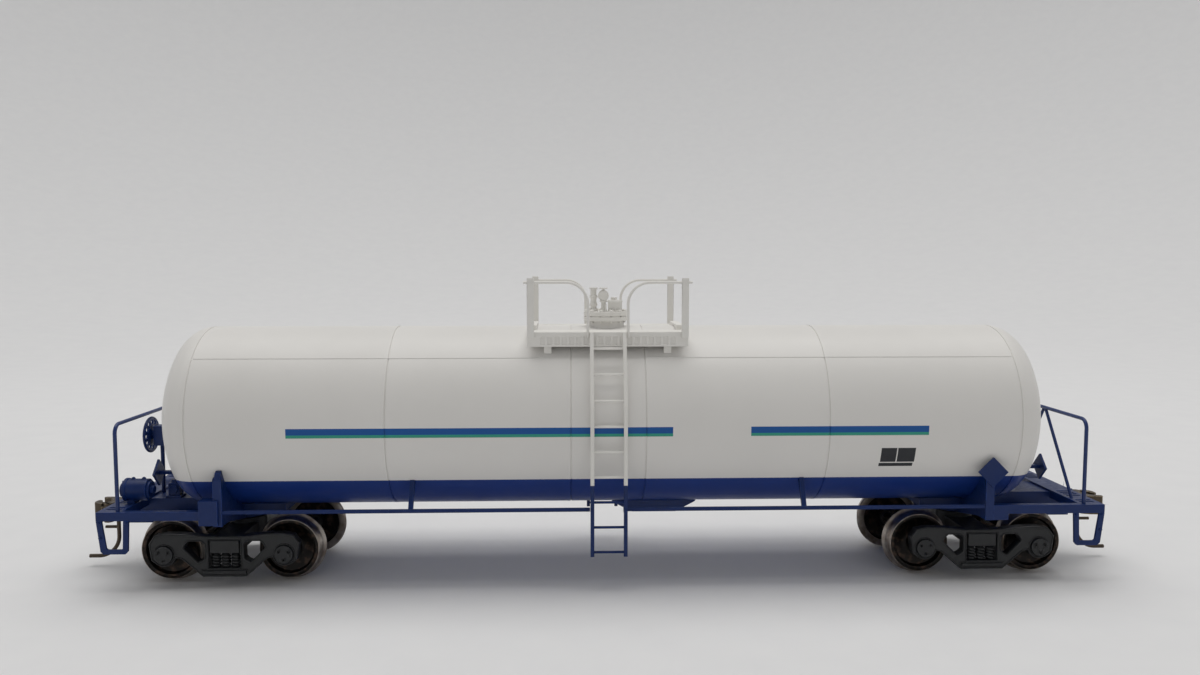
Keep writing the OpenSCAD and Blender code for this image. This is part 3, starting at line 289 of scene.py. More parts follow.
# Dished ends: a wide crown that runs into a tight knuckle, with a spigot that plugs into the barrel
head_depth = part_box("tank_head_right")[1].x - barrel_half
spigot_l = barrel_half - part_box("tank_head_right")[0].x
knuckle_r = 5 * mm
knuckle_c = tank_r - knuckle_r
rise = head_depth - knuckle_r
crown_drop = (knuckle_c ** 2 - rise ** 2) / (2 * rise)
crown_r = head_depth + crown_drop
meet = math.degrees(math.asin(knuckle_c / (crown_r - knuckle_r)))
plug_r = tank_r - wall - 0.05 * mm
for side, name in ((-1, "left"), (1, "right")):
    dish = arc((0, -crown_drop), crown_r, 0, meet, 24) + arc((knuckle_c, 0), knuckle_r, meet, 88.6, 12)[1:]
    dish[0] = (0, head_depth)
    lip = [(tank_r - seam_deep, edge * 0.8), (tank_r - seam_deep, 0), (plug_r, 0), (plug_r, -spigot_l),
           (plug_r - wall, -spigot_l), (plug_r - wall, 0)]
    back = arc((knuckle_c, 0), knuckle_r - wall, 80, meet, 6)
    back += arc((0, -crown_drop), crown_r - wall, meet, 0, 10)[1:]
    back[-1] = (0, head_depth - wall)
    outline = [(r, side * (barrel_half + h)) for r, h in dish + lip + back]
    head = turned("tank_end_" + name, outline, about_tank, [tank_paint], steps=192, sharp=50)
    fit(head, "tank_head_" + name)

# Manway neck: a short tube welded on the crown, with a fillet of weld round its foot
neck_r = 3.4 * mm
crown_z = tank_z + tank_r
neck_line = [(neck_r - wall, crown_z - 2 * mm), (neck_r - wall, neck_top_z), (neck_r, neck_top_z),
             (neck_r, crown_z + 0.12 * mm), (neck_r + 0.1 * mm, crown_z - 0.1 * mm),
             (neck_r + 0.28 * mm, crown_z - 0.42 * mm), (neck_r + 0.28 * mm, crown_z - 2 * mm)]
neck = turned("manway_neck", neck_line, Matrix(), [tank_paint], steps=96, closed=True)
fit(neck, "tank_barrel", replaced=False)


def shape_tree(name, points, *sizes):
    """A tree with one input of points, its sizes and a finish. Gives the tree and its inputs."""
    tree = bpy.data.node_groups.new(name, "GeometryNodeTree")
    inputs = [(points, "Geometry")] + [(size, "Float") for size in sizes] + [("Finish", "Material")]
    for label, kind in inputs:
        tree.interface.new_socket(label, in_out="INPUT", socket_type="NodeSocket" + kind)
    tree.interface.new_socket("Geometry", in_out="OUTPUT", socket_type="NodeSocketGeometry")
    return tree, add(tree, "NodeGroupInput").outputs


def coated(tree, shape, given):
    """Ends a tree: its copies become real faces, and all of them take the finish."""
    solid = add(tree, "GeometryNodeRealizeInstances", {"Geometry": shape.outputs[0]})
    finished = add(tree, "GeometryNodeSetMaterial", {"Geometry": solid.outputs[0],
                                                     "Material": given["Finish"]})
    add(tree, "NodeGroupOutput", {"Geometry": finished.outputs[0]})


# The long joint of the jacket sheets: a folded strip high on each side, broken by the platform's
# middle. The tree sweeps a square section with rounded corners along each run.
lap, given = shape_tree("jacket_joint", "Runs", "Width", "Rounding")
runs = add(lap, "GeometryNodeMeshToCurve", {"Mesh": given["Runs"]})
square = add(lap, "GeometryNodeCurvePrimitiveQuadrilateral", {"Width": given["Width"],
                                                              "Height": given["Width"]})
section = add(lap, "GeometryNodeFilletCurve", {"Curve": square.outputs[0], "Radius": given["Rounding"]})
swept = add(lap, "GeometryNodeCurveToMesh", {"Curve": runs.outputs[0], "Profile Curve": section.outputs[0],
                                             "Fill Caps": True})
coated(lap, swept, given)


def applied(stock, name):
    """A plain object with the mesh that the modifiers of a stock object give. The stock goes."""
    graph = bpy.context.evaluated_depsgraph_get()
    mesh = bpy.data.meshes.new_from_object(stock.evaluated_get(graph), depsgraph=graph)
    raw = stock.data
    bpy.data.objects.remove(stock)
    bpy.data.meshes.remove(raw)
    mesh.name = name
    piece = bpy.data.objects.new(name, mesh)
    bpy.context.scene.collection.objects.link(piece)
    return piece


def grown(name, tree, points, edges, values, layers=None):
    """The mesh that a tree grows on the given points, applied to a plain object. layers gives each
    point a vector or a number by name."""
    seed = bpy.data.meshes.new(name)
    seed.from_pydata(points, edges, [])
    for label, held in (layers or {}).items():
        vector = isinstance(held[0], (tuple, Vector))
        layer = seed.attributes.new(label, "FLOAT_VECTOR" if vector else "FLOAT", "POINT")
        layer.data.foreach_set("vector" if vector else "value",
                               [n for item in held for n in item] if vector else held)
    stock = bpy.data.objects.new(name + "_points", seed)
    bpy.context.scene.collection.objects.link(stock)
    modifier = stock.modifiers.new(name, "NODES")
    modifier.node_group = tree
    for socket in tree.interface.items_tree:
        if socket.in_out == "INPUT" and socket.name in values:
            modifier[socket.identifier] = values[socket.name]
    return applied(stock, name)


joint_z = 39.5 * mm
joint_y = math.sqrt(tank_r ** 2 - (joint_z - tank_z) ** 2)
joint_runs = [(-barrel_half + 0.2 * mm, -11.2 * mm), (6.8 * mm, barrel_half - 0.2 * mm)]
ends = [(x, side * joint_y, joint_z) for side in (-1, 1) for run in joint_runs for x in run]
joint = grown("jacket_joints", lap, ends, [(i, i + 1) for i in range(0, len(ends), 2)],
              {"Width": 0.16 * mm, "Rounding": 0.03 * mm, "Finish": tank_paint})
fit(joint, "tank_barrel", replaced=False)


# ---------------------------------------------------------------- platform, ladders and fittings
# All of this is moulded in off-white ABS and left unpainted. The walkway lies beside the manway
# on four feet, with flat posts, bent rails and two ladders pressed into it.

nodes = frame["nodes"]
weld = 0.002 * mm


def softened(name, node, finish, round_r=0.05 * mm, pressed=None):
    """A copy of a CAD piece with the small radius that a mould leaves on its edges. The rounded
    faces hold 1 in edge_wear. pressed is a test for faces to sink, with a rim width and a depth."""
    rough_copy = bpy.data.meshes.new(name)
    source = nodes[node].data
    rough_copy.from_pydata([v.co for v in source.vertices], [], [list(p.vertices) for p in source.polygons])
    work = bmesh.new()
    work.from_mesh(rough_copy)
    bpy.data.meshes.remove(rough_copy)
    bmesh.ops.remove_doubles(work, verts=work.verts, dist=weld)
    bmesh.ops.dissolve_limit(work, angle_limit=math.radians(0.6), verts=work.verts, edges=work.edges)
    if pressed:
        test, rim, depth = pressed
        chosen = [face for face in work.faces if test(face)]
        bmesh.ops.inset_region(work, faces=chosen, thickness=rim, depth=-depth, use_even_offset=True)
    bmesh.ops.triangulate(work, faces=[face for face in work.faces if len(face.verts) > 4])
    stock = settle(name + "_stock", work, [finish, finish], 180)
    bevel = stock.modifiers.new("mould_radius", "BEVEL")
    bevel.width, bevel.segments, bevel.material = round_r, 2, 1
    bevel.limit_method, bevel.angle_limit = "ANGLE", math.radians(32)
    bevel.use_clamp_overlap, bevel.harden_normals = False, True
    piece = applied(stock, name)
    mesh = piece.data
    worn = mesh.attributes.new("edge_wear", "FLOAT", "FACE")
    worn.data.foreach_set("value", [float(face.material_index) for face in mesh.polygons])
    mesh.polygons.foreach_set("material_index", [0] * len(mesh.polygons))
    mesh.materials.pop()
    return fit(piece, node)


def handled(name, tones, rubbed, dust, gloss, grain, **fixed):
    """A finish of a handled model. Its tone drifts between two tones, its edges are rubbed towards
    a third colour, and dust settles on what faces up. gloss is (least, most) roughness and dust's
    share; grain is the size and height of the surface's texture."""
    finish, tree, shader = new_finish(name, **fixed)
    place = add(tree, "ShaderNodeTexCoord").outputs["Object"]
    drift = add(tree, "ShaderNodeTexNoise", {"Vector": place, "Scale": 1 / (4 * mm), "Detail": 5})
    tone = add(tree, "ShaderNodeMix", {0: drift.outputs["Fac"], 6: srgb(tones[0]), 7: srgb(tones[1])},
               data_type="RGBA")
    edges = add(tree, "ShaderNodeAttribute", attribute_name="edge_wear")
    patchy = add(tree, "ShaderNodeTexNoise", {"Vector": place, "Scale": 1 / (0.8 * mm), "Detail": 4})
    rub = add(tree, "ShaderNodeMapRange", {"Value": patchy.outputs["Fac"], "From Min": 0.38,
                                           "From Max": 0.62})
    worn = add(tree, "ShaderNodeMath", {0: edges.outputs["Fac"], 1: rub.outputs[0]}, operation="MULTIPLY")
    bare = add(tree, "ShaderNodeMix", {0: worn.outputs[0], 6: tone.outputs[2], 7: srgb(rubbed)},
               data_type="RGBA")
    normal = add(tree, "ShaderNodeNewGeometry").outputs["Normal"]
    up = add(tree, "ShaderNodeSeparateXYZ", {0: normal})
    level = add(tree, "ShaderNodeMapRange", {"Value": up.outputs["Z"], "From Min": 0.55, "From Max": 1,
                                             "To Max": gloss[2]})
    specks = add(tree, "ShaderNodeTexNoise", {"Vector": place, "Scale": 1 / (0.35 * mm), "Detail": 3})
    lying = add(tree, "ShaderNodeMath", {0: level.outputs[0], 1: specks.outputs["Fac"]}, operation="MULTIPLY")
    dusty = add(tree, "ShaderNodeMix", {0: lying.outputs[0], 6: bare.outputs[2], 7: srgb(dust)},
                data_type="RGBA")
    sheen = add(tree, "ShaderNodeMapRange", {"Value": patchy.outputs["Fac"], "From Min": 0.3, "From Max": 0.7,
                                             "To Min": gloss[0], "To Max": gloss[1]})
    size, height = grain
    skin = add(tree, "ShaderNodeTexNoise", {"Vector": place, "Scale": 1 / size, "Detail": 3})
    relief = add(tree, "ShaderNodeBump", {"Height": skin.outputs["Fac"], "Strength": 0.35,
                                          "Distance": height})
    tree.links.new(dusty.outputs[2], shader.inputs["Base Color"])
    tree.links.new(sheen.outputs[0], shader.inputs["Roughness"])
    tree.links.new(relief.outputs[0], shader.inputs["Normal"])
    return finish


# Off-white ABS, injection moulded in a lightly etched tool: matt, a little warm, edges a shade
# lighter. The etch is drawn about three times coarser than it is, so that it shows.
white_abs = handled("moulded_white_abs", ("#EFEDE8", "#E6E4DE"), "#F4F2EE", "#CFCCC5", (0.4, 0.54, 0.08),
                    (0.25 * mm, 0.008 * mm), IOR=1.53)
for name, node in (("walkway_deck", "platform_deck"), ("walkway_feet", "platform_brackets"),
                   ("walkway_posts", "platform_posts"), ("walkway_rails", "platform_rails"),
                   ("manway_lid", "manway_cover"), ("crown_valves", "top_valves"),
                   ("fittings_housing", "valve_box")):
    softened(name, node, white_abs, 0.04 * mm)

# Manway bolts: twelve hexagon bolts down through the lid. One tree makes a bolt and stands a copy
# on each point, turned to its facing; it also sets the other bolts of the wagon.
bolts, given = shape_tree("bolt_heads", "Places", "Head Radius", "Head Height", "Shank Radius",
                          "Shank Length")
# A hexagon takes up most of the head's height, and a cone on it narrows to the head's crown
flat_h, flat_middle, crown_h, crown_r1, crown_r2, shank_middle = [
    add(bolts, "ShaderNodeMath", {0: given[size], 1: part}, operation="MULTIPLY").outputs[0]
    for size, part in (("Head Height", 0.7), ("Head Height", 0.35), ("Head Height", 0.3),
                       ("Head Radius", 0.88), ("Head Radius", 0.6), ("Shank Length", -0.5))]
hexagon = add(bolts, "GeometryNodeMeshCylinder", {"Vertices": 6, "Radius": given["Head Radius"],
                                                  "Depth": flat_h})
crown = add(bolts, "GeometryNodeMeshCone", {"Vertices": 12, "Radius Bottom": crown_r1,
                                            "Radius Top": crown_r2, "Depth": crown_h})
shank = add(bolts, "GeometryNodeMeshCylinder", {"Vertices": 12, "Radius": given["Shank Radius"],
                                                "Depth": given["Shank Length"]})
bolt = add(bolts, "GeometryNodeJoinGeometry")
for part, height in ((hexagon, flat_middle), (crown, flat_h), (shank, shank_middle)):
    lift = add(bolts, "ShaderNodeCombineXYZ", {"Z": height})
    lifted = add(bolts, "GeometryNodeTransform", {"Geometry": part.outputs["Mesh"],
                                                  "Translation": lift.outputs[0]})
    bolts.links.new(lifted.outputs[0], bolt.inputs[0])
facing = add(bolts, "GeometryNodeInputNamedAttribute", {"Name": "facing"}, data_type="FLOAT_VECTOR")
turn = add(bolts, "FunctionNodeAlignRotationToVector", {"Vector": facing.outputs["Attribute"]}, axis="Z")
stood = add(bolts, "GeometryNodeInstanceOnPoints", {"Points": given["Places"], "Instance": bolt.outputs[0],
                                                    "Rotation": turn.outputs[0]})
coated(bolts, stood, given)

lid_top_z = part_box("manway_cover")[1].z
bolt_low, bolt_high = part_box("manway_bolts")
ring_r = 3.6 * mm


def bolt_ring(x, y, z, radius, count, start):
    """Points evenly round a circle, the first at start degrees."""
    turns = [math.radians(start + 360 / count * i) for i in range(count)]
    return [(x + radius * math.cos(t), y + radius * math.sin(t), z) for t in turns]


def bolted(name, places, facings, head_r, head_h, shank_r, shank_l, finish):
    """Bolts with their heads' undersides on the places, each along its facing."""
    return grown(name, bolts, places, [],
                 {"Head Radius": head_r, "Head Height": head_h, "Shank Radius": shank_r,
                  "Shank Length": shank_l, "Finish": finish}, {"facing": facings})


upward = (0.0, 0.0, 1.0)
ring = bolt_ring(0, 0, lid_top_z, ring_r, 12, 15)
lid_bolts = bolted("manway_bolt_set", ring, [upward] * len(ring), 0.38 * mm, bolt_high.z - lid_top_z,
                   0.19 * mm, lid_top_z - bolt_low.z, white_abs)
fit(lid_bolts, "manway_bolts")

# Valve trim: nuts round the valves' flanges, and a round rim and a hub on the hand valve's upright
# wheel
relief_x, hand_x, hand_y = -2.2 * mm, -0.4 * mm, -0.9 * mm
# Each flange: its middle, its height over the lid, and the radius of its ring of nuts
flanges = [(relief_x, 0, 0.4 * mm, 0.68 * mm), (relief_x, 0, 1.4 * mm, 0.56 * mm),
           (relief_x, 0, 2.8 * mm, 0.58 * mm), (hand_x, hand_y, 0.4 * mm, 0.45 * mm)]
nuts = [place for x, y, h, r in flanges for place in bolt_ring(x, y, lid_top_z + h, r, 6, 30)]
valve_nuts = bolted("valve_nuts", nuts, [upward] * len(nuts), 0.17 * mm, 0.22 * mm, 0.07 * mm, 0.1 * mm,
                    white_abs)
fit(valve_nuts, "top_valves", replaced=False)
hand_wheel_y, hand_wheel_z = hand_y + 0.18 * mm, lid_top_z + 2.9 * mm
upright = Matrix.Translation((hand_x, hand_wheel_y, hand_wheel_z)) @ Matrix.Rotation(math.radians(90), 4, "X")
rim_r, rim_wire_r = 0.86 * mm, 0.15 * mm
rim_line = arc((rim_r, 0), rim_wire_r, 0, 330, 11)
hand_rim = turned("hand_valve_rim", rim_line, upright, [white_abs], steps=48, closed=True)
fit(hand_rim, "top_valves", replaced=False)
hub_line = [(r * mm, h * mm) for r, h in ((0, 0.2), (0.2, 0.2), (0.26, 0.12), (0.26, -0.1), (0, -0.1))]
hand_hub = turned("hand_valve_hub", hub_line, upright, [white_abs], steps=24)
fit(hand_hub, "top_valves", replaced=False)

# Ladders: two flat stiles that stand beside the tank and lean in at the top, with round rungs.
# The tree sweeps a stile down each side of the given line and lays a rung at each lone point.
stile_round = 0.05 * mm
ladders, given = shape_tree("ladder", "Line", "Half Width", "Stile Width", "Stile Thickness", "Rung Radius")
is_rung = add(ladders, "GeometryNodeInputNamedAttribute", {"Name": "rung"}, data_type="FLOAT")
parted = add(ladders, "GeometryNodeSeparateGeometry", {"Geometry": given["Line"],
                                                       "Selection": is_rung.outputs["Attribute"]})
line = add(ladders, "GeometryNodeMeshToCurve", {"Mesh": parted.outputs["Inverted"]})
flat = add(ladders, "GeometryNodeCurvePrimitiveQuadrilateral", {"Width": given["Stile Width"],
                                                                "Height": given["Stile Thickness"]})
soft = add(ladders, "GeometryNodeFilletCurve", {"Curve": flat.outputs[0], "Radius": stile_round})
stile = add(ladders, "GeometryNodeCurveToMesh", {"Curve": line.outputs[0], "Profile Curve": soft.outputs[0],
                                                 "Fill Caps": True})
inset = add(ladders, "ShaderNodeMath", {0: given["Stile Width"], 1: -0.5}, operation="MULTIPLY").outputs[0]
out = add(ladders, "ShaderNodeMath", {0: given["Half Width"], 1: inset}, operation="ADD").outputs[0]
back = add(ladders, "ShaderNodeMath", {0: out, 1: -1}, operation="MULTIPLY").outputs[0]
ladder = add(ladders, "GeometryNodeJoinGeometry")
for shift in (out, back):
    aside = add(ladders, "ShaderNodeCombineXYZ", {"X": shift})
    moved = add(ladders, "GeometryNodeTransform", {"Geometry": stile.outputs[0],
                                                   "Translation": aside.outputs[0]})
    ladders.links.new(moved.outputs[0], ladder.inputs[0])
span = add(ladders, "ShaderNodeMath", {0: out, 1: 2}, operation="MULTIPLY").outputs[0]
rung = add(ladders, "GeometryNodeMeshCylinder", {"Vertices": 20, "Radius": given["Rung Radius"],
                                                 "Depth": span})
across = add(ladders, "GeometryNodeTransform", {"Geometry": rung.outputs["Mesh"],
                                                "Rotation": (0, math.radians(90), 0)})
laid = add(ladders, "GeometryNodeInstanceOnPoints", {"Points": parted.outputs["Selection"],
                                                     "Instance": across.outputs[0]})
smooth = add(ladders, "GeometryNodeSetShadeSmooth", {"Geometry": laid.outputs[0]})
ladders.links.new(smooth.outputs[0], ladder.inputs[0])
coated(ladders, ladder, given)

upper_low, upper_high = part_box("ladder_uppers")
split_z, ladder_top_z, ladder_foot_z = upper_low.z, upper_high.z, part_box("ladder_lowers")[0].z
half_width = upper_high.x
stile_w, stile_t, rung_r = 0.65 * mm, 0.5 * mm, 0.22 * mm
lean_z = tank_z + 3.3 * mm
middle_y = upper_high.y - stile_t / 2
edge_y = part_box("platform_deck")[1].y
deck_gap = 0.4 * mm
top_y = edge_y + deck_gap + stile_t / 2
first_rung, rung_pitch = 0.75 * mm, 4.3 * mm
rung_z = [ladder_foot_z + first_rung + i * rung_pitch for i in range(9)]


def ladder_pair(name, node, finish, heights, rungs):
    """A ladder on each side: its stiles pass through the heights, and it has a rung at each of rungs."""
    points, edges, marks = [], [], []
    for side in (-1, 1):
        edges += [(len(points) + i, len(points) + i + 1) for i in range(len(heights) - 1)]
        for z in heights + rungs:
            lean = max(0, z - lean_z) / (ladder_top_z - lean_z)
            points.append((0, side * (middle_y + (top_y - middle_y) * lean), z))
        marks += [0.0] * len(heights) + [1.0] * len(rungs)
    pair = grown(name, ladders, points, edges,
                 {"Half Width": half_width, "Stile Width": stile_w, "Stile Thickness": stile_t,
                  "Rung Radius": rung_r, "Finish": finish}, {"rung": marks})
    return fit(pair, node)


upper_line = [split_z, lean_z - 0.4 * mm, lean_z, lean_z + 0.6 * mm, ladder_top_z]
ladder_pair("ladder_upper", "ladder_uppers", white_abs, upper_line, rung_z[3:])


block_w = stile_w * 0.96


def blocks(name, spans, edge_r, finish):
    """Blocks with eased edges on all four stiles, one for each span of |y| and z that is given."""
    work = bmesh.new()
    for side in (-1, 1):
        for x in (-half_width + stile_w / 2, half_width - stile_w / 2):
            for y0, y1, z0, z1 in spans:
                place = Matrix.Translation((x, side * (y0 + y1) / 2, (z0 + z1) / 2)) @ Matrix.Diagonal(
                    (block_w, y1 - y0, z1 - z0, 1))
                bmesh.ops.create_cube(work, size=1, matrix=place)
    bmesh.ops.bevel(work, geom=work.edges[:], offset=edge_r, segments=2, affect="EDGES", profile=0.5)
    return settle(name, work, [finish])


# Stand-offs: a small block on each stile at the tank's widest, and a lip on the platform's edge
half_block, lip_h, gap = 0.3 * mm, 0.55 * mm, 0.02 * mm
stand_offs = blocks("ladder_stand_offs", [
    (tank_r + gap, middle_y, tank_z - half_block, tank_z + half_block),
    (edge_y + 0.05 * mm, top_y, ladder_top_z - lip_h, ladder_top_z)], 0.04 * mm, white_abs)
fit(stand_offs, "ladder_uppers", replaced=False)


# ---------------------------------------------------------------- underframe and end gear
# Stub sills, bolsters, side sills, end walkways, steps and brake gear are moulded in navy ABS.
# The bolster plates cradle the tank, and everything else hangs on the sills.

# Navy ABS, injection moulded and left bare: satin, deep blue, paler where edges have rubbed and
# where dust lies on the level faces
navy_abs = handled("moulded_navy_abs", ("#0A2B66", "#082253"), "#1B3F88", "#35486C", (0.34, 0.48, 0.07),
                   (0.2 * mm, 0.008 * mm), IOR=1.53, Specular_IOR_Level=0.3)
for side in ("left", "right"):
    softened("stub_sill_beam_" + side, "stub_sill_" + side, navy_abs, 0.08 * mm)
    softened("saddle_bolster_" + side, "body_bolster_" + side, navy_abs, 0.08 * mm)
    softened("end_walkway_" + side, "end_platform_" + side, navy_abs, 0.04 * mm)
for name, node in (("sill_angles", "side_sills"), ("stirrup_steps", "step_irons"),
                   ("long_rails", "side_rails"), ("sump_skid", "outlet_skid"),
                   ("brake_housing", "brake_stand"), ("brake_hand_wheel", "brake_wheel"),
                   ("air_tank", "air_reservoir"), ("brake_valve", "control_valve"),
                   ("draft_box_lids", "coupler_box_lids")):
    softened(name, node, navy_abs, 0.05 * mm)

# Notice boards: bare diamonds with a raised rim and a sunk middle
softened("notice_boards", "placard_boards", navy_abs, 0.03 * mm,
         (lambda face: face.calc_area() > (3 * mm) ** 2 and len(face.verts) == 4, 0.28 * mm, 0.08 * mm))

# Lower ladders, with tie blocks from their stiles to the long rails
ladder_pair("ladder_lower", "ladder_lowers", navy_abs, [ladder_foot_z, split_z], rung_z[:3])
rail_y, rail_z, tie_half, tie_over = 15.3 * mm, 13.8 * mm, 0.43 * mm, 0.45 * mm
tie_span = (rail_y - tie_over, middle_y + tie_over, rail_z - tie_half, rail_z + tie_half)
tie_blocks = blocks("ladder_ties", [tie_span], 0.05 * mm, navy_abs)
fit(tie_blocks, "ladder_lowers", replaced=False)

# Bolts of the steps, moulded as small heads on their outer faces
step_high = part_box("step_irons")[1]
# How far each stands in from the step's outer end and down from its top
nub_places = [(0.45 * mm, 0.35 * mm), (4.95 * mm, 0.35 * mm), (0.62 * mm, 2.9 * mm)]
nubs, faces_out = [], []
for end in (-1, 1):
    for side in (-1, 1):
        for back, down in nub_places:
            nubs.append((end * (step_high.x - back), side * step_high.y, step_high.z - down))
            faces_out.append((0.0, float(side), 0.0))
step_bolts = bolted("step_bolts", nubs, faces_out, 0.27 * mm, 0.2 * mm, 0.1 * mm, 0.1 * mm, navy_abs)
fit(step_bolts, "step_irons", replaced=False)

# Enamelled steel wire, drawn and bent: a little glossier than the plastic, with hairline drawing
# marks lost under the paint
navy_wire = handled("enamelled_wire", ("#0D2E6C", "#0A265A"), "#2E4F8E", "#35486C", (0.3, 0.42, 0.06),
                    (0.5 * mm, 0.012 * mm), IOR=1.5)
for name, node in (("end_handrail_left", "end_rail_left"), ("end_handrail_right", "end_rail_right"),
                   ("brake_pull_rod", "brake_rod"), ("uncoupling_levers", "cut_levers")):
    softened(name, node, navy_wire, 0.04 * mm)


# ---------------------------------------------------------------- couplers
# Each coupler is a die-cast body with a swinging knuckle and a bent steel trip pin pressed through
# its head. A bronze leaf in the pocket brings it back to the middle.

# Zinc die-casting, chemically browned: dull bronze brown, brighter where the casting's edges rub
browned_casting = handled("browned_die_casting", ("#61564A", "#4C443A"), "#9A8B74", "#8E877C",
                          (0.38, 0.55, 0.1), (0.18 * mm, 0.012 * mm), Metallic=0.9)
trip_steel = handled("darkened_steel_wire", ("#5A5148", "#483F37"), "#948676", "#8E877C", (0.3, 0.46, 0.05),
                     (0.3 * mm, 0.006 * mm), Metallic=0.95)
for side in ("left", "right"):
    softened("coupler_head_" + side, "coupler_" + side, browned_casting, 0.1 * mm)
    softened("coupler_jaw_" + side, "knuckle_" + side, browned_casting, 0.1 * mm)
    softened("trip_wire_" + side, "trip_pin_" + side, trip_steel, 0.06 * mm)
# Phosphor bronze strip, rolled and blanked: warm and bright, seen only from below
bronze_strip = handled("rolled_phosphor_bronze", ("#B58A52", "#A37B48"), "#D2A96B", "#9C8E78",
                       (0.3, 0.38, 0.05), (0.6 * mm, 0.004 * mm), Metallic=1)
softened("centring_leaves", "centring_springs", bronze_strip, 0.03 * mm)


# ---------------------------------------------------------------- trucks
# Two side frames and a bolster moulded in black acetal, clipped together. The three coils at each
# end of the bolster are moulded too, so the truck rides rigid.

# Black acetal: waxy satin, almost black, greyer on the rims where handling has polished it
black_acetal = handled("moulded_black_acetal", ("#1A1C1F", "#141618"), "#2D3035", "#434548",
                       (0.34, 0.5, 0.12), (0.22 * mm, 0.01 * mm), IOR=1.48)
bead_w = 0.26 * mm
bead_in, bead_round = bead_w * 0.6, bead_w * 0.35
for side in ("left", "right"):
    softened("side_frames_" + side, "truck_frames_" + side, black_acetal, 0.09 * mm)
    softened("bolster_beam_" + side, "truck_bolster_" + side, black_acetal, 0.08 * mm)
    # A raised bead follows every edge of the frames' flat outer faces, just inside the edge
    plate_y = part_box("truck_bolster_" + side)[1].y
    work = bmesh.new()
    work.from_mesh(nodes["truck_frames_" + side].data)
    bmesh.ops.remove_doubles(work, verts=work.verts, dist=weld)
    flat = [face for face in work.faces if abs(abs(face.calc_center_median().y) - plate_y) < 0.02 * mm
            and abs(face.normal.y) > 0.99]
    plate = set(flat)
    inward, spans = {}, []
    for face in flat:
        for loop in face.loops:
            if not plate.issuperset(loop.edge.link_faces):
                pair = loop.vert, loop.link_loop_next.vert
                spans.append(pair)
                into = face.normal.cross(pair[1].co - pair[0].co).normalized()
                for vert in pair:
                    inward.setdefault(vert, []).append(into)
    order = {vert: i for i, vert in enumerate(inward)}
    line = [vert.co + (ways[0] + ways[1]) * bead_in / max(0.4, 1 + ways[0].dot(ways[1]))
            for vert, ways in inward.items()]
    beads = grown("frame_beads_" + side, lap, line, [(order[a], order[b]) for a, b in spans],
                  {"Width": bead_w, "Rounding": bead_round, "Finish": black_acetal})
    work.free()
    fit(beads, "truck_frames_" + side, replaced=False)

# Coil springs: the tree winds one wire round a core and stands a copy on each point
coils, given = shape_tree("coil_springs", "Places", "Turns", "Coil Radius", "Wire Radius", "Height")
wire_d = add(coils, "ShaderNodeMath", {0: given["Wire Radius"], 1: 2}, operation="MULTIPLY").outputs[0]
climb = add(coils, "ShaderNodeMath", {0: given["Height"], 1: wire_d}, operation="SUBTRACT").outputs[0]
helix = add(coils, "GeometryNodeCurveSpiral", {"Resolution": 20, "Rotations": given["Turns"],
                                               "Start Radius": given["Coil Radius"],
                                               "End Radius": given["Coil Radius"], "Height": climb})
wire_ring = add(coils, "GeometryNodeCurvePrimitiveCircle", {"Resolution": 8, "Radius": given["Wire Radius"]},
                mode="RADIUS")
wound = add(coils, "GeometryNodeCurveToMesh", {"Curve": helix.outputs[0], "Fill Caps": True,
                                               "Profile Curve": wire_ring.outputs[0]})
core_r = add(coils, "ShaderNodeMath", {0: given["Coil Radius"], 1: 0.95}, operation="MULTIPLY").outputs[0]
core = add(coils, "GeometryNodeMeshCylinder", {"Vertices": 16, "Radius": core_r, "Depth": given["Height"]})
core_up = add(coils, "ShaderNodeMath", {0: given["Height"], 1: 0.5}, operation="MULTIPLY").outputs[0]
spring = add(coils, "GeometryNodeJoinGeometry")
for part, height in ((wound, given["Wire Radius"]), (core, core_up)):
    lift = add(coils, "ShaderNodeCombineXYZ", {"Z": height})
    lifted = add(coils, "GeometryNodeTransform", {"Geometry": part.outputs[0],
                                                  "Translation": lift.outputs[0]})
    coils.links.new(lifted.outputs[0], spring.inputs[0])
stood = add(coils, "GeometryNodeInstanceOnPoints", {"Points": given["Places"], "Instance": spring.outputs[0]})
rounded = add(coils, "GeometryNodeSetShadeSmooth", {"Geometry": stood.outputs[0]})
coated(coils, rounded, given)
coil_r, coil_wire_r, coil_pitch = 0.6 * mm, 0.24 * mm, 1.7 * mm
for side in ("left", "right"):
    low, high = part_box("truck_springs_" + side)
    spring_x = (low.x + high.x) / 2
    spring_y = high.y - coil_r - coil_wire_r
    seats = [(spring_x + x, y, low.z) for x in (-coil_pitch, 0, coil_pitch) for y in (-spring_y, spring_y)]
    pack = grown("coil_springs_" + side, coils, seats, [],
                 {"Turns": 4.0, "Coil Radius": coil_r, "Wire Radius": coil_wire_r, "Height": high.z - low.z,
                  "Finish": black_acetal})
    fit(pack, "truck_springs_" + side)


# ---------------------------------------------------------------- wheelsets
# Each wheel is turned from brass, plated and browned, with its web blackened. One wheel is pressed
# on the axle, and the other on a plastic bush that keeps the two apart electrically.

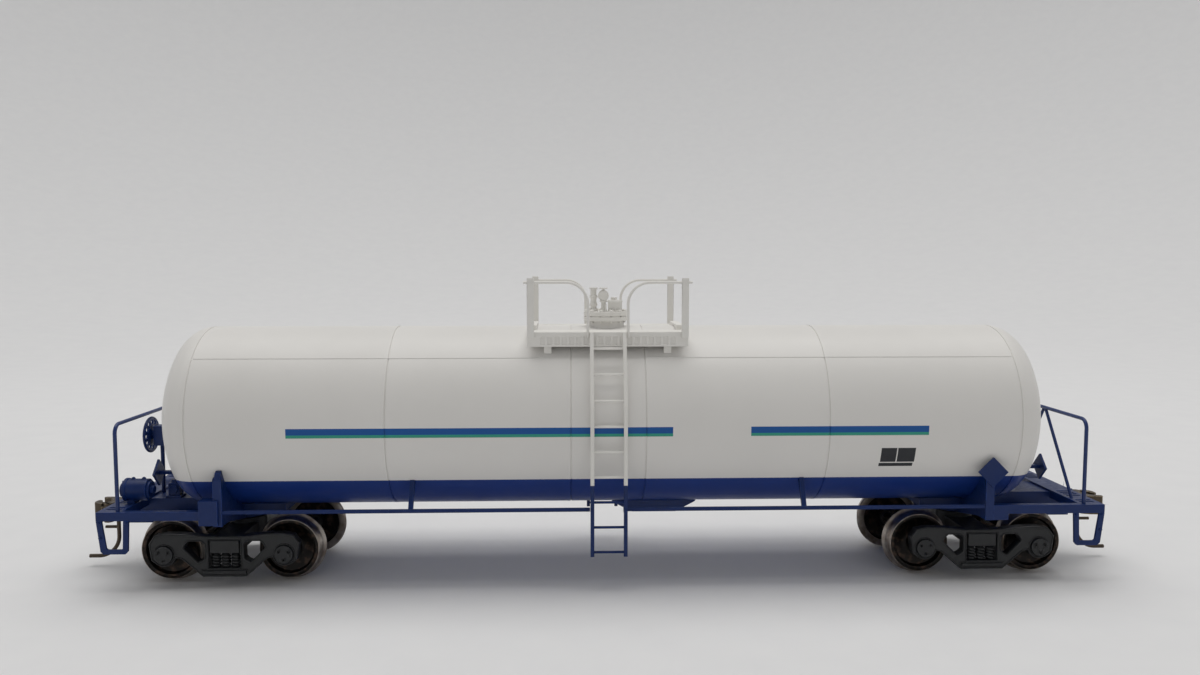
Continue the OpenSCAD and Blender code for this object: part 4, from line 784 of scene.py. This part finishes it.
def lathe_metal(name, metallic, tones, patch, detail, film_range, gloss, pitch, depth):
    """A turned metal under a film: tones are the bare metal and the film, patch is the size of the
    film's patches, gloss maps the film to roughness, and pitch and depth are those of its rings."""
    finish, tree, shader = new_finish(name, Metallic=metallic)
    place = add(tree, "ShaderNodeTexCoord")
    film = add(tree, "ShaderNodeTexNoise", {"Vector": place.outputs["Object"], "Scale": 1 / patch,
                                            "Detail": detail})
    stain = add(tree, "ShaderNodeMapRange", {"Value": film.outputs["Fac"], "From Min": film_range[0],
                                             "From Max": film_range[1]})
    colour = add(tree, "ShaderNodeMix", {0: stain.outputs[0], 6: srgb(tones[0]), 7: srgb(tones[1])},
                 data_type="RGBA")
    around = add(tree, "ShaderNodeSeparateXYZ", {0: place.outputs["UV"]})
    cut = add(tree, "ShaderNodeMath", {0: around.outputs["Y"], 1: 2 * math.pi / pitch}, operation="MULTIPLY")
    rings = add(tree, "ShaderNodeMath", {0: cut.outputs[0]}, operation="SINE")
    relief = add(tree, "ShaderNodeBump", {"Height": rings.outputs[0], "Strength": depth,
                                          "Distance": 0.004 * mm})
    dull = add(tree, "ShaderNodeMapRange", {"Value": film.outputs["Fac"], "From Min": gloss[0],
                                            "From Max": gloss[1], "To Min": gloss[2], "To Max": gloss[3]})
    tree.links.new(colour.outputs[2], shader.inputs["Base Color"])
    tree.links.new(dull.outputs[0], shader.inputs["Roughness"])
    tree.links.new(relief.outputs[0], shader.inputs["Normal"])
    return finish


# Browned nickel plate on a turned wheel: a warm grey metal with fine lathe rings, drawn about five
# times coarser than they are, and brown film left in patches
rim_metal = lathe_metal("browned_nickel_plate", 1.0, ("#A8A19A", "#7A6D63"), 1.6 * mm, 5, (0.35, 0.68),
                        (0.3, 0.7, 0.3, 0.42), 0.11 * mm, 0.3)
# Blackened web: the same metal under a black chemical film, glossy in the hollows, brown where the
# film is thin
web_metal = lathe_metal("blackened_web", 0.85, ("#201E1D", "#54443A"), 1.1 * mm, 4, (0.5, 0.75),
                        (0, 1, 0.3, 0.4), 0.16 * mm, 0.25)

# Turned steel, oil blacked, for the axles; and glossy black nylon for the bushes
axle_steel = handled("blackened_axle_steel", ("#4A4644", "#3B3836"), "#7D756E", "#6B665F", (0.3, 0.42, 0.02),
                     (0.4 * mm, 0.004 * mm), Metallic=1.0)
bush_nylon = handled("black_nylon", ("#18191B", "#141517"), "#2A2C2F", "#4A4A4A", (0.3, 0.4, 0.02),
                     (0.3 * mm, 0.004 * mm), IOR=1.53)

wheel_low, wheel_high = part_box("wheels_1")
flange_r = (wheel_high.z - wheel_low.z) / 2
axle_z = wheel_low.z + flange_r
wheel_w = 2.8 * mm
back_y = wheel_high.y - wheel_w
web_r = 5.02 * mm
# Outline of a wheel from its bore at the back round to its bore at the face: radius, depth
wheel_line = [(1.8, 0), (2.1, 0.7), (4.05, 0.88), (4.3, 0.8), (4.45, 0.1), (4.55, 0), (5.55, 0), (5.72, 0.05),
              (5.86, 0.17), (5.9, 0.32), (5.86, 0.45), (5.6, 0.6), (5.42, 0.76), (5.3, 0.95), (5.21, 2.58),
              (5.17, 2.72), (5.05, 2.8), (4.46, 2.8), (4.38, 2.76), (4.22, 2.1), (4.1, 1.98), (3.2, 1.84),
              (2.2, 1.8), (2.02, 1.9), (1.85, 2.72), (1.75, 2.8)]
tip_r, tip_y, cone_y = 0.12 * mm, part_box("axle_1")[1].y, 11.15 * mm
cone_r = tip_r + (tip_y - cone_y) * math.tan(math.radians(30))
shank_r, axle_r, bush_r, chamfer = 0.88 * mm, 1 * mm, 1.4 * mm, 0.08 * mm
axle_half = [(0, tip_y), (tip_r, tip_y), (cone_r, cone_y), (shank_r, cone_y), (shank_r, back_y + wheel_w),
             (axle_r, back_y + wheel_w), (axle_r, back_y - 0.3 * mm), (shank_r, back_y - 0.45 * mm)]
axle_line = axle_half + [(r, -y) for r, y in reversed(axle_half)]
for number in range(1, 5):
    axle_low, axle_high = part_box("axle_%d" % number)
    hub = Vector(((axle_low.x + axle_high.x) / 2, 0, axle_z))
    to_far = Matrix.Translation(hub) @ Matrix.Rotation(math.radians(-90), 4, "X")
    to_near = Matrix.Translation(hub) @ Matrix.Rotation(math.radians(90), 4, "X")
    axle = turned("axle_shaft_%d" % number, axle_line, to_far, [axle_steel], steps=40)
    fit(axle, "axle_%d" % number)
    for place, bore, side in ((to_far, bush_r, "far"), (to_near, axle_r, "near")):
        line = [(bore, 0)] + [(r * mm, back * mm) for r, back in wheel_line] + [(bore, wheel_w)]
        line = [(r, back_y + back) for r, back in line]
        wheel = turned("wheel_%d_%s" % (number, side), line, place, [rim_metal, web_metal], steps=128,
                       closed=True, inner=web_r)
        fit(wheel, "wheels_%d" % number)
    ring = [(axle_r, 0), (bush_r - chamfer, 0), (bush_r, chamfer), (bush_r, wheel_w - chamfer),
            (bush_r - chamfer, wheel_w), (axle_r, wheel_w)]
    ring = [(r, back_y + back) for r, back in ring]
    bush = turned("bush_%d" % number, ring, to_far, [bush_nylon], steps=40, closed=True)
    fit(bush, "wheel_bush_%d" % number)


# ---------------------------------------------------------------- screws and ballast
# Zinc-plated pan-head screws hold the trucks, the coupler boxes and the steel bar that lies in the
# tank as ballast.

# Zinc plate with a blue-grey passivated film, and mill-finish steel bar with a light rolling grain
zinc_plate = handled("zinc_plated_screw", ("#B9BCC0", "#A4A8AD"), "#D6D8DA", "#8B8B8B", (0.3, 0.42, 0.02),
                     (0.3 * mm, 0.004 * mm), Metallic=1.0)
softened("pan_head_screws", "frame_screws", zinc_plate, 0.06 * mm)
mill_steel = handled("mill_finish_bar", ("#7C7D80", "#67686B"), "#A2A3A5", "#6F6C66", (0.36, 0.55, 0.05),
                     (0.8 * mm, 0.015 * mm), Metallic=1.0)
softened("ballast_bar", "ballast_weight", mill_steel, 0.3 * mm)
